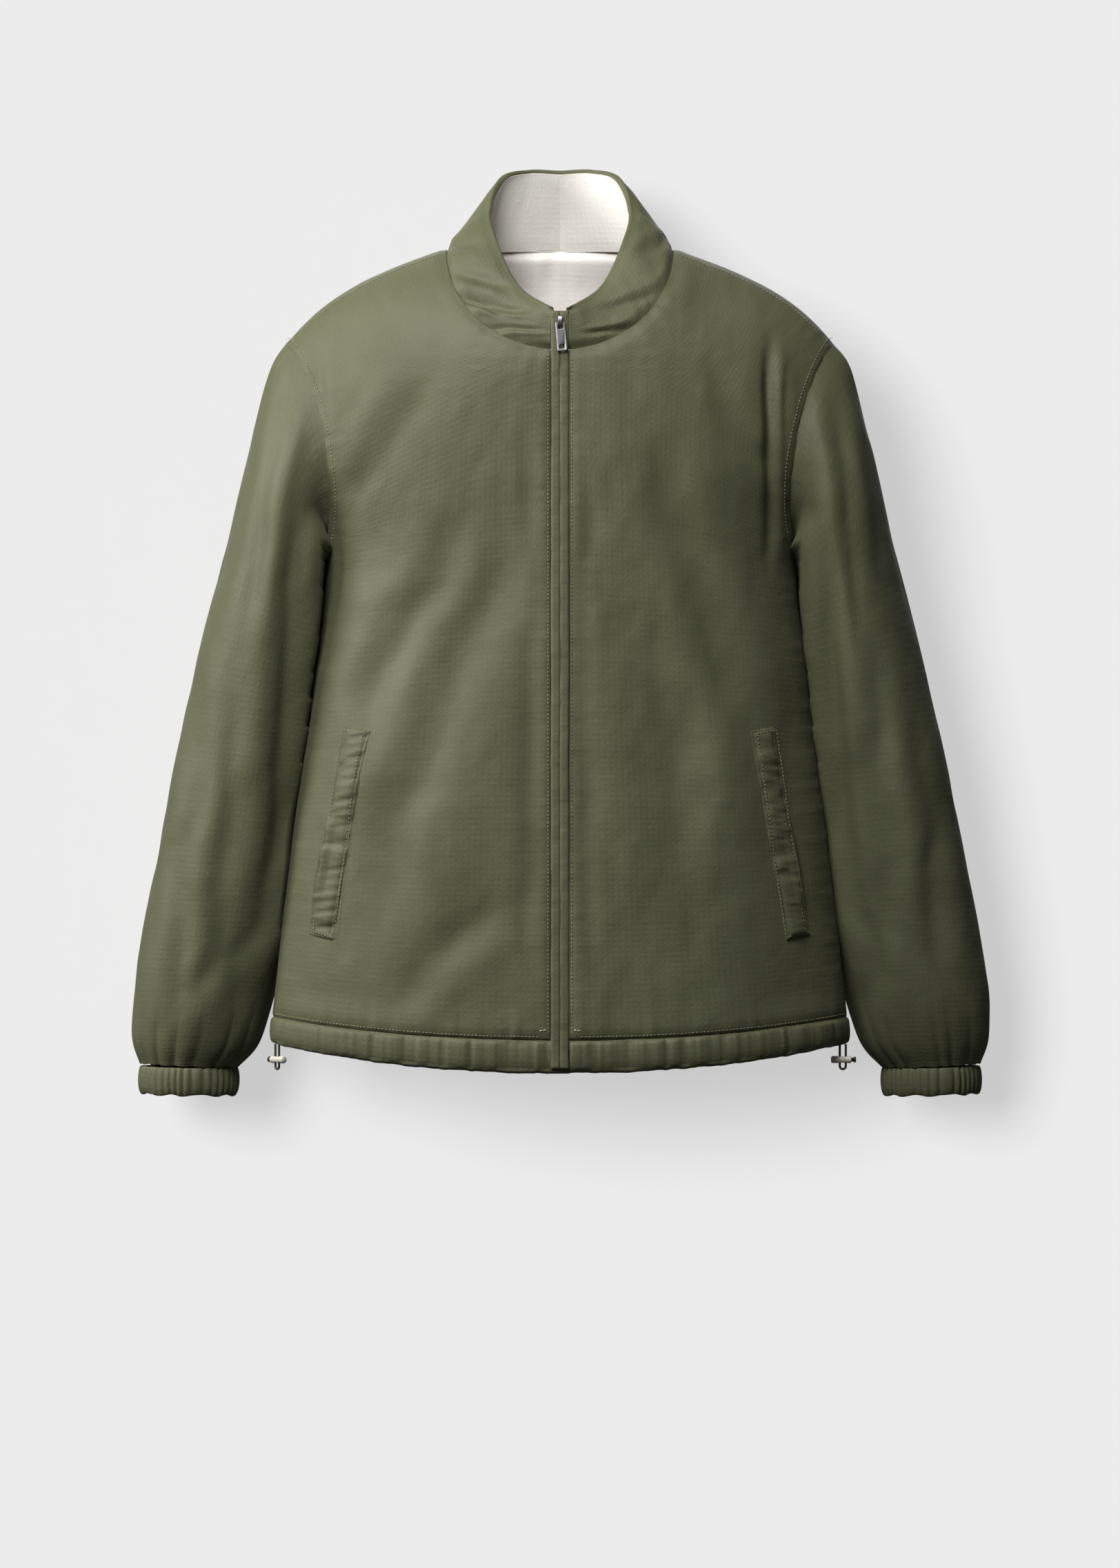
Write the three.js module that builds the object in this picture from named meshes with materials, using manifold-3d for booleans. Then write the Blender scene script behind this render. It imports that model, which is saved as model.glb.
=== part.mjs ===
// A reversible zip-front blouson in three layers: shell, wadding and lining.
// It hangs upright as worn, with its front towards -Y, +Z up and the wearer's left at +X.
// Millimetres. The origin is midway between the two shoulder-neck points.
import * as THREE from 'three';
import Module from 'manifold-3d';
import { mergeVertices } from 'three/addons/utils/BufferGeometryUtils.js';

const wasm = await Module();
wasm.setup();

// Body
const bodyLength = 690; // shoulder-neck point down to the hem edge at the centre front
const shoulderHalf = 230;
const shoulderDrop = 86;
const neckHalf = 96;
const neckFrontDrop = 95;
const chestHalf = 199;
const underarmDrop = 252;
const ribHalf = 208;
const waistHalf = 223;
const waistDrop = 487;
const hemHalf = 246;
const hemRise = 17; // the hem edge sits this much higher at the side seams
const hemBand = 24; // height of the drawcord channel
const frontDepthTop = 85;
const frontDepthHem = 98;
const backDepthTop = 80;
const backDepthHem = 88;
const armholeScoop = 10;
const zipHalf = 7.4; // centre line to the folded edge of each front

// Collar
const collarFrontTop = 62; // the closed collar's front top, below the origin
const collarBackTop = 63; // the collar's back rim, above the origin
const collarBulge = 5;
const collarLift = 3.5; // the collar's lower edge stands this far above the neck seam

// Sleeves and cuffs
const sleeveLength = 639; // shoulder point to the cuff's edge, straight down
const upperArmWidth = 100;
const forearmWidth = 116;
const wristWidth = 80;
const sleeveDepth = 146;
const wristDepth = 72;
const cuffHeight = 23;

// Layers, measured inwards from the outer surface
const seamGap = 0.7;
const armholeGap = 3.3;
const layerGap = 0.3;
const shellThickness = 0.8;
const waddingThickness = 3;
const liningThickness = 0.6;
const pouchThickness = 1.6;
const pouchGap = 1.4;

// Pockets
const weltLength = 178;
const weltWidth = 21;
const weltTopDrop = 410;
const weltTopOut = 156;
const weltLean = 32; // the welt's foot sits this much further out than its head

// Zip
const guardHalf = 0.8; // half of the slit between the folded strips
const guardThickness = 1.6;
const chainWidth = 2.8;
const chainThickness = 2.2;
const tapeWidth = 8.7;
const tapeThickness = 0.6;
const tapeTop = 8; // the tape's folded end, below the top of the strips
const sliderWidth = 9.6;
const sliderHeight = 9;
const pullerLength = 23.5;
const pullerWidth = 8.2;
const pullerThickness = 1.4;
const pullerTilt = 5;

// Drawcord and its locks
const cordDiameter = 2;
const lockRadius = 3;
const lockOut = 236.5;
const lockLift = 5; // the lock's axis, above the hem's edge at the centre front
const lockDrop = bodyLength - lockLift;
const legSpacing = 5;
const loopReach = 9; // the loop's lowest point below the lock's axis
const buttonTravel = 2;

const waddingTop = shellThickness + layerGap;
const sleeveLiningTop = waddingTop + waddingThickness + layerGap;
const pouchTop = waddingTop + waddingThickness + pouchGap;
const liningTop = pouchTop + pouchThickness + pouchGap;
const layers = {
  shell: [0, shellThickness],
  wadding: [waddingTop, waddingTop + waddingThickness],
  lining: [liningTop, liningTop + liningThickness],
};
const sleeveLayers = { ...layers, lining: [sleeveLiningTop, sleeveLiningTop + liningThickness] };
const sides = { right: -1, left: 1 };
const { clamp, degToRad, lerp, smoothstep } = THREE.MathUtils;

const looks = {
  shell: { color: 0x5f614c, roughness: 0.85, metalness: 0 },
  wadding: { color: 0xd9d6cf, roughness: 1, metalness: 0 },
  lining: { color: 0xe4dfd8, roughness: 0.8, metalness: 0 },
  tape: { color: 0x4a4b3a, roughness: 0.9, metalness: 0 },
  metal: { color: 0x8a8a90, roughness: 0.35, metalness: 1 },
  elastic: { color: 0xe0dbd0, roughness: 0.9, metalness: 0 },
  lock: { color: 0xd8d2c4, roughness: 0.5, metalness: 0 },
  button: { color: 0x24231f, roughness: 0.5, metalness: 0 },
};

const jacket = new THREE.Group();

function addPart(parent, name, geometry, look) {
  const mesh = new THREE.Mesh(geometry, new THREE.MeshStandardMaterial(looks[look]));
  mesh.name = name;
  parent.add(mesh);
  return mesh;
}

// ---------- outer surface of the body ----------

// A smooth curve through [height, value] keys, highest first.
function through(keys, z) {
  let i = 1;
  while (i < keys.length - 1 && z < keys[i][0]) i += 1;
  const [z0, a0] = keys[i - 1];
  const [z1, a1] = keys[i];
  const slope = (j) => {
    const before = keys[Math.max(j - 1, 0)];
    const after = keys[Math.min(j + 1, keys.length - 1)];
    return (after[1] - before[1]) / (after[0] - before[0]);
  };
  const t = clamp((z - z0) / (z1 - z0), 0, 1);
  const bend0 = slope(i - 1) * (z1 - z0);
  const bend1 = slope(i) * (z1 - z0);
  const t2 = t * t;
  const t3 = t2 * t;
  return (2 * t3 - 3 * t2 + 1) * a0 + (t3 - 2 * t2 + t) * bend0 + (3 * t2 - 2 * t3) * a1 + (t3 - t2) * bend1;
}

// The block's half width. Above the underarm it is wider than the body, whose edge is the armhole.
const widthKeys = [
  [0, shoulderHalf + 30],
  [-shoulderDrop, shoulderHalf + 20],
  [-(shoulderDrop + underarmDrop) / 2, shoulderHalf + 2],
  [-underarmDrop, chestHalf],
  [-(underarmDrop + waistDrop) / 2, ribHalf],
  [-waistDrop, waistHalf],
  [-bodyLength, hemHalf],
];
const halfWidth = (z) => through(widthKeys, z);

// Height of the shoulder's crest. It falls gently from the neck and steeply at the shoulder's end.
const shoulderSpan = shoulderHalf - neckHalf;
function ridge(x) {
  const out = (Math.abs(x) - neckHalf) / shoulderSpan;
  const fall = out > 0 ? 0.62 * out + 0.38 * Math.min(out, 1) ** 4 : out;
  return -5 - (shoulderDrop - 5) * fall;
}
const crestRise = (x) => ridge(x) + 5 + ((shoulderDrop - 5) * (x - neckHalf)) / shoulderSpan;
// How far the shoulder stands above a straight line from the neck to a panel's outer edge.
function crest(x, edge) {
  return x > neckHalf ? crestRise(x) - (crestRise(edge) * (x - neckHalf)) / (edge - neckHalf) : 0;
}
const zipDepth = (z) =>
  lerp(frontDepthTop, frontDepthHem, (z + collarFrontTop) / (collarFrontTop - bodyLength));
const backDepth = (z) => lerp(backDepthTop, backDepthHem, clamp(-z / underarmDrop, 0, 1));

// Distance of the outer surface in front of (or behind) the side seam's plane.
function bodyDepth(x, z, front) {
  const across = Math.min(Math.abs(x) / halfWidth(z), 1);
  const below = clamp((ridge(x) - z) / (front ? 150 : 90), 0, 1);
  const round = (1 - across ** 2.6) ** 0.62;
  const crest = (1 - (1 - below) ** 2.2) ** 0.6;
  return (front ? zipDepth(z) : backDepth(z)) * round * crest;
}

function armholePoint(angle) {
  const middle = -(shoulderDrop + underarmDrop) / 2;
  const reach = (underarmDrop - shoulderDrop) / 2;
  const rise = ((1 + Math.sin(angle)) / 2) ** 2;
  const x = lerp(chestHalf, shoulderHalf, rise) - armholeScoop * Math.cos(angle);
  return [x, middle + reach * Math.sin(angle)];
}

const sideFraction = 0.6; // the side seam's share of the panel's outer edge
const zipFraction = 0.78; // the zip edge's share of the front's inner edge
const hemSeam = (share) => hemBand - bodyLength + hemRise * share;

// [x, z] on the front's and the back's common outer edge: side seam, then armhole.
function outerEdge(v) {
  if (v <= sideFraction) {
    const z = lerp(hemSeam(1), -underarmDrop, v / sideFraction);
    return [halfWidth(z), z];
  }
  return armholePoint(lerp(-Math.PI / 2, Math.PI / 2, (v - sideFraction) / (1 - sideFraction)));
}

// A point on the front's neck seam: turn 0 is the centre front, a quarter turn the shoulder.
const neckFront = (turn) => [
  neckHalf * Math.sin(turn),
  -5 - (neckFrontDrop - 5) * Math.cos(turn),
];
const neckStart = Math.asin(zipHalf / neckHalf);

function frontInnerEdge(v) {
  if (v <= zipFraction) return [zipHalf, lerp(hemSeam(0), neckFront(neckStart)[1], v / zipFraction)];
  return neckFront(lerp(neckStart, Math.PI / 2, (v - zipFraction) / (1 - zipFraction)));
}

function frontFlat(t, v) {
  const [xi, zi] = frontInnerEdge(v);
  const [xo, zo] = outerEdge(v);
  const s = Math.sin((t * Math.PI) / 2);
  const x = lerp(xi, xo, s);
  return [x, lerp(zi, zo, s ** (2 - v)) + crest(x, xo) * smoothstep(v, 0.72, 1)];
}

// The inner layers start past the zip's tape, up to the neck seam.
const tapeSeat = 0.03;
const frontFlatInside = (t, v) => frontFlat(v < zipFraction ? Math.max(t, tapeSeat) : t, v);

// The back runs from centre to edge; its top edge is the neck curve and then the shoulder seam.
const neckShare = 0.42;
function backFlat(t, v) {
  const [xo, zo] = outerEdge(v);
  const s = Math.sin((t * Math.PI) / 2);
  const low = [xo * s, lerp(lerp(hemSeam(0), -60, v), zo, s ** (2 - v))];
  const turn = clamp(t / neckShare, 0, 1) * (Math.PI / 2);
  const out = clamp((t - neckShare) / (1 - neckShare), 0, 1);
  const topAcross = lerp(neckHalf * Math.sin(turn), xo, out);
  const topHeight =
    t < neckShare ? -5 + 5 * Math.cos(turn) ** 2 : lerp(-5, zo, out) + crest(topAcross, xo);
  const top = [topAcross, topHeight];
  const share = smoothstep(v, 0.55, 1);
  return [lerp(low[0], top[0], share), lerp(low[1], top[1], share)];
}

function bodyPoint([x, z], front) {
  const depth = bodyDepth(x, z, front);
  return new THREE.Vector3(x, front ? -depth : depth, z);
}

// Outward normal of the body's surface, from the slopes of its depth.
function bodyNormal([x, z], front) {
  const step = 0.5;
  const xIn = Math.min(Math.abs(x), halfWidth(z) - 3 * step);
  const zIn = Math.min(z, ridge(xIn) - 3 * step);
  const dx = (bodyDepth(xIn + step, zIn, front) - bodyDepth(xIn - step, zIn, front)) / (2 * step);
  const dz = (bodyDepth(xIn, zIn + step, front) - bodyDepth(xIn, zIn - step, front)) / (2 * step);
  return new THREE.Vector3(-dx, front ? -1 : 1, -dz).normalize();
}

// ---------- closed slabs from surfaces ----------

function solidFrom(points, faces) {
  const geometry = new THREE.BufferGeometry();
  geometry.setAttribute('position', new THREE.Float32BufferAttribute(points.flatMap((p) => p.toArray()), 3));
  geometry.setIndex(faces.flat());
  return geometry;
}

// A layer between two offsets of a surface. place(u, v, offset) gives a point.
function layerSlab(place, [outer, inner], us, vs, { closed = false, mirror = false } = {}) {
  const columns = closed ? us.length - 1 : us.length;
  const points = [];
  for (const offset of [outer, inner]) {
    for (const v of vs) {
      for (let i = 0; i < columns; i += 1) {
        const point = place(us[i], v, offset);
        if (mirror) point.x *= -1;
        points.push(point);
      }
    }
  }
  const sheet = columns * vs.length;
  const at = (i, j, k) => k * sheet + j * columns + (i % columns);
  const faces = [];
  const quad = (a, b, c, d) => faces.push([a, b, c], [a, c, d]);
  for (let j = 0; j < vs.length - 1; j += 1) {
    for (let i = 0; i < us.length - 1; i += 1) {
      quad(at(i, j, 0), at(i + 1, j, 0), at(i + 1, j + 1, 0), at(i, j + 1, 0));
      quad(at(i + 1, j + 1, 1), at(i + 1, j, 1), at(i, j, 1), at(i, j + 1, 1));
    }
  }
  const top = vs.length - 1;
  for (let i = 0; i < us.length - 1; i += 1) {
    quad(at(i, 0, 1), at(i + 1, 0, 1), at(i + 1, 0, 0), at(i, 0, 0));
    quad(at(i, top, 0), at(i + 1, top, 0), at(i + 1, top, 1), at(i, top, 1));
  }
  for (let j = 0; !closed && j < top; j += 1) {
    const end = us.length - 1;
    quad(at(end, j, 0), at(end, j, 1), at(end, j + 1, 1), at(end, j + 1, 0));
    quad(at(0, j + 1, 0), at(0, j + 1, 1), at(0, j, 1), at(0, j, 0));
  }
  return solidFrom(points, mirror ? faces.map(([a, b, c]) => [a, c, b]) : faces);
}

const evenly = (count, start = 0, end = 1) =>
  Array.from({ length: count + 1 }, (_, i) => lerp(start, end, i / count));
const towardsEnd = (count, start, end) =>
  evenly(count).map((s) => lerp(start, end, Math.sin((s * Math.PI) / 2)));

// ---------- body panels ----------

const sideInset = seamGap / 100; // the panels stop this share of a row short of their seams

function placeOnBody(flat, front) {
  return (t, v, offset) => {
    const spot = flat(t, v);
    const point = bodyPoint(spot, front).addScaledVector(bodyNormal(spot, front), -offset);
    point.y = front ? Math.min(point.y, -seamGap / 2) : Math.max(point.y, seamGap / 2);
    return point;
  };
}

function addBodyPanels() {
  const rows = towardsEnd(12, seamGap / bodyLength, 1);
  const wholeBack = (u, v, offset) => {
    const point = placeOnBody(backFlat, false)(Math.abs(u), v, offset);
    if (u < 0) point.x *= -1;
    return point;
  };
  for (const [layer, offsets] of Object.entries(layers)) {
    for (const [side, sign] of Object.entries(sides)) {
      const flat = layer === 'shell' ? frontFlat : frontFlatInside;
      const columns = evenly(9, 0, 1 - sideInset / 2);
      const slab = layerSlab(placeOnBody(flat, true), offsets, columns, rows, { mirror: sign < 0 });
      addPart(jacket, `${side}_front_${layer}`, slab, layer);
    }
    const columns = evenly(18, 1 - sideInset / 2, sideInset / 2 - 1);
    addPart(jacket, `back_${layer}`, layerSlab(wholeBack, offsets, columns, rows), layer);
  }
}

// ---------- hem channel ----------

function hemFlat(front, w) {
  return (t) => {
    const xi = front ? zipHalf : 0;
    const zo = hemSeam(1) - hemBand * w * 0.8;
    const s = Math.sin((t * Math.PI) / 2);
    return [lerp(xi, halfWidth(zo), s), lerp(hemSeam(0) - hemBand * w, zo, s * s)];
  };
}

function placeOnHem(front) {
  return (u, w, offset) => {
    const place = placeOnBody((t) => hemFlat(front, w)(t), front);
    const point = place(Math.abs(u), w, offset);
    if (u < 0) point.x *= -1;
    return point;
  };
}

const channelCentre = (shellThickness + liningTop) / 2;
const channelLevel = 0.55;

function addHem() {
  const hemLayers = { outer: layers.shell, facing: layers.lining };
  const heights = evenly(2, 1, seamGap / hemBand);
  for (const [layer, offsets] of Object.entries(hemLayers)) {
    for (const [side, sign] of Object.entries(sides)) {
      const columns = evenly(10, 0, 1 - sideInset / 2);
      if (layer === 'facing') columns[0] = tapeSeat;
      const slab = layerSlab(placeOnHem(true), offsets, columns, heights, { mirror: sign < 0 });
      addPart(jacket, `${side}_hem_${layer}`, slab, 'shell');
    }
    const columns = evenly(20, 1 - sideInset / 2, sideInset / 2 - 1);
    addPart(jacket, `back_hem_${layer}`, layerSlab(placeOnHem(false), offsets, columns, heights), 'shell');
  }
}

// ---------- collar ----------

// Half of the rim, from the centre back round to the zip.
const rimKeys = [
  [0, 52, collarBackTop],
  [28, 48, collarBackTop],
  [50, 30, collarBackTop - 6],
  [60, 2, collarBackTop - 35],
  [54, -30, 0],
  [34, -60, 20 - collarFrontTop],
  [zipHalf, -zipDepth(-collarFrontTop), -collarFrontTop],
].map((key) => new THREE.Vector3(...key));
const rimHalf = new THREE.CatmullRomCurve3(rimKeys);

function neckSeam(share) {
  if (share < 0.5) {
    const turn = share * Math.PI;
    const spot = [neckHalf * Math.sin(turn), -5 + 5 * Math.cos(turn) ** 2];
    const point = bodyPoint(spot, false);
    point.y = Math.max(point.y, 0);
    return point;
  }
  const turn = lerp(Math.PI / 2, neckStart, (share - 0.5) * 2);
  return bodyPoint(neckFront(turn), true);
}

function collarPoint(u, w) {
  const share = Math.abs(u);
  const low = neckSeam(share);
  const high = rimHalf.getPoint(share);
  const out = new THREE.Vector3(low.x, low.y * (1 - share), 0).normalize();
  const lift = collarLift / low.distanceTo(high);
  const point = low.lerp(high, lerp(lift, 1, w));
  point.addScaledVector(out, collarBulge * Math.sin(Math.PI * w) * Math.sin(Math.PI * (1 - share ** 4)) ** 0.5);
  if (u > 0) point.x *= -1;
  return point;
}

function numericNormal(place, u, v, step) {
  const vLow = Math.max(v - step, 0);
  const vHigh = Math.min(v + step, 1);
  const along = place(u + step, v).sub(place(u - step, v));
  const up = place(u, vHigh).sub(place(u, vLow));
  return along.cross(up).normalize();
}

function addCollar() {
  const end = 0.995;
  const place = (u, w, offset) => {
    const reach = clamp(u, -end + 0.01, end - 0.01);
    return collarPoint(u, w).addScaledVector(numericNormal(collarPoint, reach, w, 0.008), -offset);
  };
  const columns = evenly(22, -end, end);
  const rows = evenly(3);
  for (const [layer, offsets] of Object.entries(sleeveLayers)) {
    addPart(jacket, `collar_${layer}`, layerSlab(place, offsets, columns, rows), layer);
  }
}

// ---------- sleeves and cuffs ----------

// Rings down the sleeve: share of its length at the inner and outer edge, gap to the body,
// width, middle's distance behind the side seam, and depth.
const sleeveRings = [
  [0.292, 0.124, 10, 0.49 * upperArmWidth, 6, 0.82 * sleeveDepth],
  [0.345, 0.268, 8, 0.71 * upperArmWidth, 18, 0.95 * sleeveDepth],
  [0.468, 0.443, 2, 0.97 * upperArmWidth, 32, sleeveDepth],
  [0.593, 0.576, 0, 1.09 * upperArmWidth, 38, 0.98 * sleeveDepth],
  [0.718, 0.71, -1, forearmWidth, 40, 0.92 * sleeveDepth],
  [0.832, 0.825, 0, forearmWidth + 3, 40, 0.82 * sleeveDepth],
  [0.88, 0.88, 4, forearmWidth - 1, 40, 0.74 * sleeveDepth],
  [0.922, 0.917, 12, forearmWidth - 13, 40, 0.62 * sleeveDepth],
  [0.95, 0.945, 27, wristWidth, 40, wristDepth],
];

function sleeveRing([innerShare, outerShare, gap, width, middle, depth], turn) {
  const zInner = -shoulderDrop - sleeveLength * innerShare;
  const zOuter = -shoulderDrop - sleeveLength * outerShare;
  const xInner = halfWidth(zInner) + gap;
  const across = (1 + Math.cos(turn)) / 2;
  return new THREE.Vector3(
    xInner + width * across,
    middle - (depth / 2) * Math.sin(turn),
    lerp(zInner, zOuter, across),
  );
}

function armholeRing(turn, gap) {
  const front = turn <= Math.PI;
  const angle = front ? Math.PI / 2 - turn : turn - 1.5 * Math.PI;
  const point = bodyPoint(armholePoint(angle), front);
  point.x += gap;
  point.z -= (gap - armholeGap) * 0.2 * (1 + Math.cos(turn));
  return point;
}

function sleevePoint(u, v) {
  const turn = ((u % 1) + 1) % 1 * 2 * Math.PI;
  const head = [armholeRing(turn, armholeGap), armholeRing(turn, 4 * armholeGap)];
  const ring = [...head, ...sleeveRings.map((key) => sleeveRing(key, turn))];
  return new THREE.CatmullRomCurve3(ring).getPoint(v);
}

function addSleeve(side, sign) {
  const place = (u, v, offset) => {
    const from = Math.max(v, 0.02);
    return sleevePoint(u, v).addScaledVector(numericNormal(sleevePoint, u, from, 0.004), -offset);
  };
  const turns = evenly(16).map((u) => -u);
  const rows = evenly(11, 1, 0);
  for (const [layer, offsets] of Object.entries(sleeveLayers)) {
    const slab = layerSlab(place, offsets, turns, rows, { closed: true, mirror: sign < 0 });
    addPart(jacket, `${side}_sleeve_${layer}`, slab, layer);
  }
}

// A ring of one cross-section round the wrist. The section holds [outwards, down] points.
function wristRing(section, sign) {
  const last = sleeveRings.at(-1);
  const segments = 20;
  const middle = sleeveRing(last, 0).add(sleeveRing(last, Math.PI)).multiplyScalar(0.5);
  const down = new THREE.Vector3(0.02, 0, -1).normalize();
  const outwards = new THREE.Vector3(1, 0, 0.02).normalize();
  const points = [];
  for (let i = 0; i < segments; i += 1) {
    const turn = (2 * Math.PI * i) / segments;
    for (const [out, drop] of section) {
      const point = middle.clone().addScaledVector(outwards, (wristWidth / 2 + out) * Math.cos(turn));
      point.y += (wristDepth / 2 + out) * Math.sin(turn);
      point.addScaledVector(down, drop);
      point.x *= sign;
      points.push(point);
    }
  }
  const count = section.length;
  const faces = [];
  for (let i = 0; i < segments; i += 1) {
    for (let j = 0; j < count; j += 1) {
      const a = i * count + j;
      const b = i * count + ((j + 1) % count);
      const c = ((i + 1) % segments) * count + ((j + 1) % count);
      const d = ((i + 1) % segments) * count + j;
      faces.push([a, b, c], [a, c, d]);
    }
  }
  return solidFrom(points, sign < 0 ? faces.map(([a, b, c]) => [a, c, b]) : faces);
}

function addCuff(side, sign) {
  const wall = shellThickness;
  const inner = -sleeveLiningTop;
  const top = seamGap + 2.5;
  const foot = top + cuffHeight;
  const cuff = [
    [0, top], [0, foot], [inner - wall, foot], [inner - wall, top],
    [inner, top], [inner, foot - wall], [-wall, foot - wall], [-wall, top],
  ];
  const elastic = [
    [-wall - 0.8, top + 3], [-wall - 0.8, foot - 3], [inner + 0.8, foot - 3], [inner + 0.8, top + 3],
  ];
  addPart(jacket, `${side}_cuff`, wristRing(cuff, sign), 'shell');
  addPart(jacket, `${side}_cuff_elastic`, wristRing(elastic, sign), 'elastic');
}

// ---------- pockets ----------

function patchFlat(corners) {
  return (u, v) => {
    const low = [lerp(corners[0][0], corners[1][0], u), lerp(corners[0][1], corners[1][1], u)];
    const high = [lerp(corners[3][0], corners[2][0], u), lerp(corners[3][1], corners[2][1], u)];
    return [lerp(low[0], high[0], v), lerp(low[1], high[1], v)];
  };
}

function addPocket(side, sign) {
  const drop = Math.sqrt(weltLength ** 2 - weltLean ** 2);
  const foot = weltTopDrop + drop;
  const welt = [
    [weltTopOut + weltLean, -foot],
    [weltTopOut + weltLean + weltWidth, 5 - foot],
    [weltTopOut + weltWidth, 3 - weltTopDrop],
    [weltTopOut, -weltTopDrop],
  ];
  const pouch = [
    [weltTopOut - 86, -foot - 46],
    [weltTopOut + weltLean, -foot - 14],
    [weltTopOut, 6 - weltTopDrop],
    [weltTopOut - 86, -weltTopDrop - 20],
  ];
  const proud = [-shellThickness - layerGap, -layerGap];
  const within = [pouchTop, pouchTop + pouchThickness];
  const mirror = { mirror: sign < 0 };
  const weltSlab = layerSlab(placeOnBody(patchFlat(welt), true), proud, evenly(2), evenly(8), mirror);
  addPart(jacket, `${side}_pocket_welt`, weltSlab, 'shell');
  const pouchSlab = layerSlab(placeOnBody(patchFlat(pouch), true), within, evenly(5), evenly(7), mirror);
  addPart(jacket, `${side}_pocket_bag`, pouchSlab, 'lining');
}

// ---------- zip ----------

function toManifold(geometry) {
  const bare = geometry.clone();
  bare.deleteAttribute('normal');
  bare.deleteAttribute('uv');
  const merged = mergeVertices(bare, 1e-4);
  const vertProperties = new Float32Array(merged.attributes.position.array);
  const triVerts = new Uint32Array(merged.index.array);
  return new wasm.Manifold(new wasm.Mesh({ numProp: 3, vertProperties, triVerts }));
}

function toGeometry(solid) {
  const { vertProperties, triVerts } = solid.getMesh();
  const geometry = new THREE.BufferGeometry();
  geometry.setAttribute('position', new THREE.BufferAttribute(vertProperties, 3));
  geometry.setIndex(new THREE.BufferAttribute(triVerts, 1));
  return geometry;
}

function block([x0, x1], [y0, y1], [z0, z1]) {
  const box = new THREE.BoxGeometry(Math.abs(x1 - x0), Math.abs(y1 - y0), Math.abs(z1 - z0));
  return box.translate((x0 + x1) / 2, (y0 + y1) / 2, (z0 + z1) / 2);
}

const joined = (pieces) => toGeometry(pieces.map(toManifold).reduce((a, b) => a.add(b)));

// Depths inside the zip, measured inwards from the shell's surface.
const guardFront = -0.4;
const platePlane = guardFront + guardThickness + layerGap;
const plateThickness = 1;
const chainFront = platePlane + plateThickness + layerGap;
const chainBack = chainFront + chainThickness;
const tapeFront = (chainFront + chainBack - tapeThickness) / 2;
const chainStart = guardHalf - 0.1;
const chainEnd = chainStart + chainWidth;
const stopHeight = 2.2;
const boxHeight = 8;
const collarFoot = neckFrontDrop - collarFrontTop + 3;
const zipLength = Math.hypot(bodyLength - collarFrontTop, frontDepthHem - frontDepthTop) - 2;
const zipLean = Math.atan2(frontDepthHem - frontDepthTop, bodyLength - collarFrontTop);

const zip = new THREE.Group();
zip.position.set(0, -frontDepthTop, -collarFrontTop - 1);
zip.rotation.x = -zipLean;
jacket.add(zip);

// The tape is full width along the front, and slim where it runs up inside the collar.
function zipTape(sign) {
  const outline = new THREE.Shape();
  const corners = [
    [chainEnd + layerGap, zipLength], [chainEnd + tapeWidth, zipLength], [chainEnd + tapeWidth, collarFoot],
    [zipHalf - layerGap, collarFoot], [zipHalf - layerGap, tapeTop], [chainEnd + layerGap, tapeTop],
  ];
  for (const [x, y] of corners) outline.lineTo(sign * x, y);
  outline.curves.shift();
  const tape = new THREE.ExtrudeGeometry(outline, { depth: tapeThickness, bevelEnabled: false });
  return tape.rotateX(-Math.PI / 2).translate(0, tapeFront, 0);
}

function addZipHalf(side, sign) {
  const span = (from, to) => [sign * from, sign * to];
  const guardSpan = span(guardHalf, zipHalf - 0.4);
  const guard = block(guardSpan, [guardFront, guardFront + guardThickness], [-zipLength, 0]);
  addPart(zip, `${side}_zip_guard`, guard, 'shell');
  addPart(zip, `${side}_zip_tape`, zipTape(sign), 'tape');
  const chainSpan = [-zipLength + boxHeight + layerGap, -stopHeight - layerGap];
  const teeth = block(span(chainStart, chainEnd), [chainFront, chainBack], chainSpan);
  addPart(zip, `${side}_zip_teeth`, teeth, 'metal');
  const stop = block(span(chainStart, chainEnd), [chainFront, chainBack], [-stopHeight, 0]);
  addPart(zip, `${side}_top_stop`, stop, 'metal');
}

function addZipFoot() {
  const foot = [-zipLength, -zipLength + boxHeight];
  const pin = block([chainStart, chainEnd], [chainFront, chainBack], foot);
  addPart(zip, 'insertion_pin', pin, 'metal');
  const box = block([-chainEnd, -chainStart], [chainFront, chainBack], foot);
  addPart(zip, 'retainer_box', box, 'metal');
}

const sliderTop = -stopHeight - layerGap;

function addSlider() {
  const half = sliderWidth / 2;
  const reach = [sliderTop - sliderHeight, sliderTop];
  const backPlane = chainBack + layerGap;
  const flange = (sign, from, to) => block([sign * (half - 0.8), sign * half], [from, to], reach);
  const plates = [
    block([-half, half], [platePlane, platePlane + plateThickness], reach),
    block([-half, half], [backPlane, backPlane + plateThickness], reach),
    block([-0.4, 0.4], [platePlane + 0.5, backPlane + 0.5], [sliderTop - 3.4, sliderTop]),
  ];
  for (const sign of Object.values(sides)) {
    plates.push(flange(sign, platePlane + 0.5, tapeFront - layerGap));
    plates.push(flange(sign, tapeFront + tapeThickness + layerGap, backPlane + 0.5));
  }
  addPart(zip, 'zip_slider', joined(plates), 'metal');
}

// The bridge is a thin blade through the slit and a ring in front that carries the puller.
const ringHeight = 9.5;
const ringDepth = 5;
const ringWall = 1.05;
const ringMiddle = [guardFront - 0.5 - ringDepth / 2, sliderTop - 1.2 - ringHeight / 2];
const pullerPivot = [ringMiddle[0], ringMiddle[1] - ringHeight / 2 + ringWall + 1.7];

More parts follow.
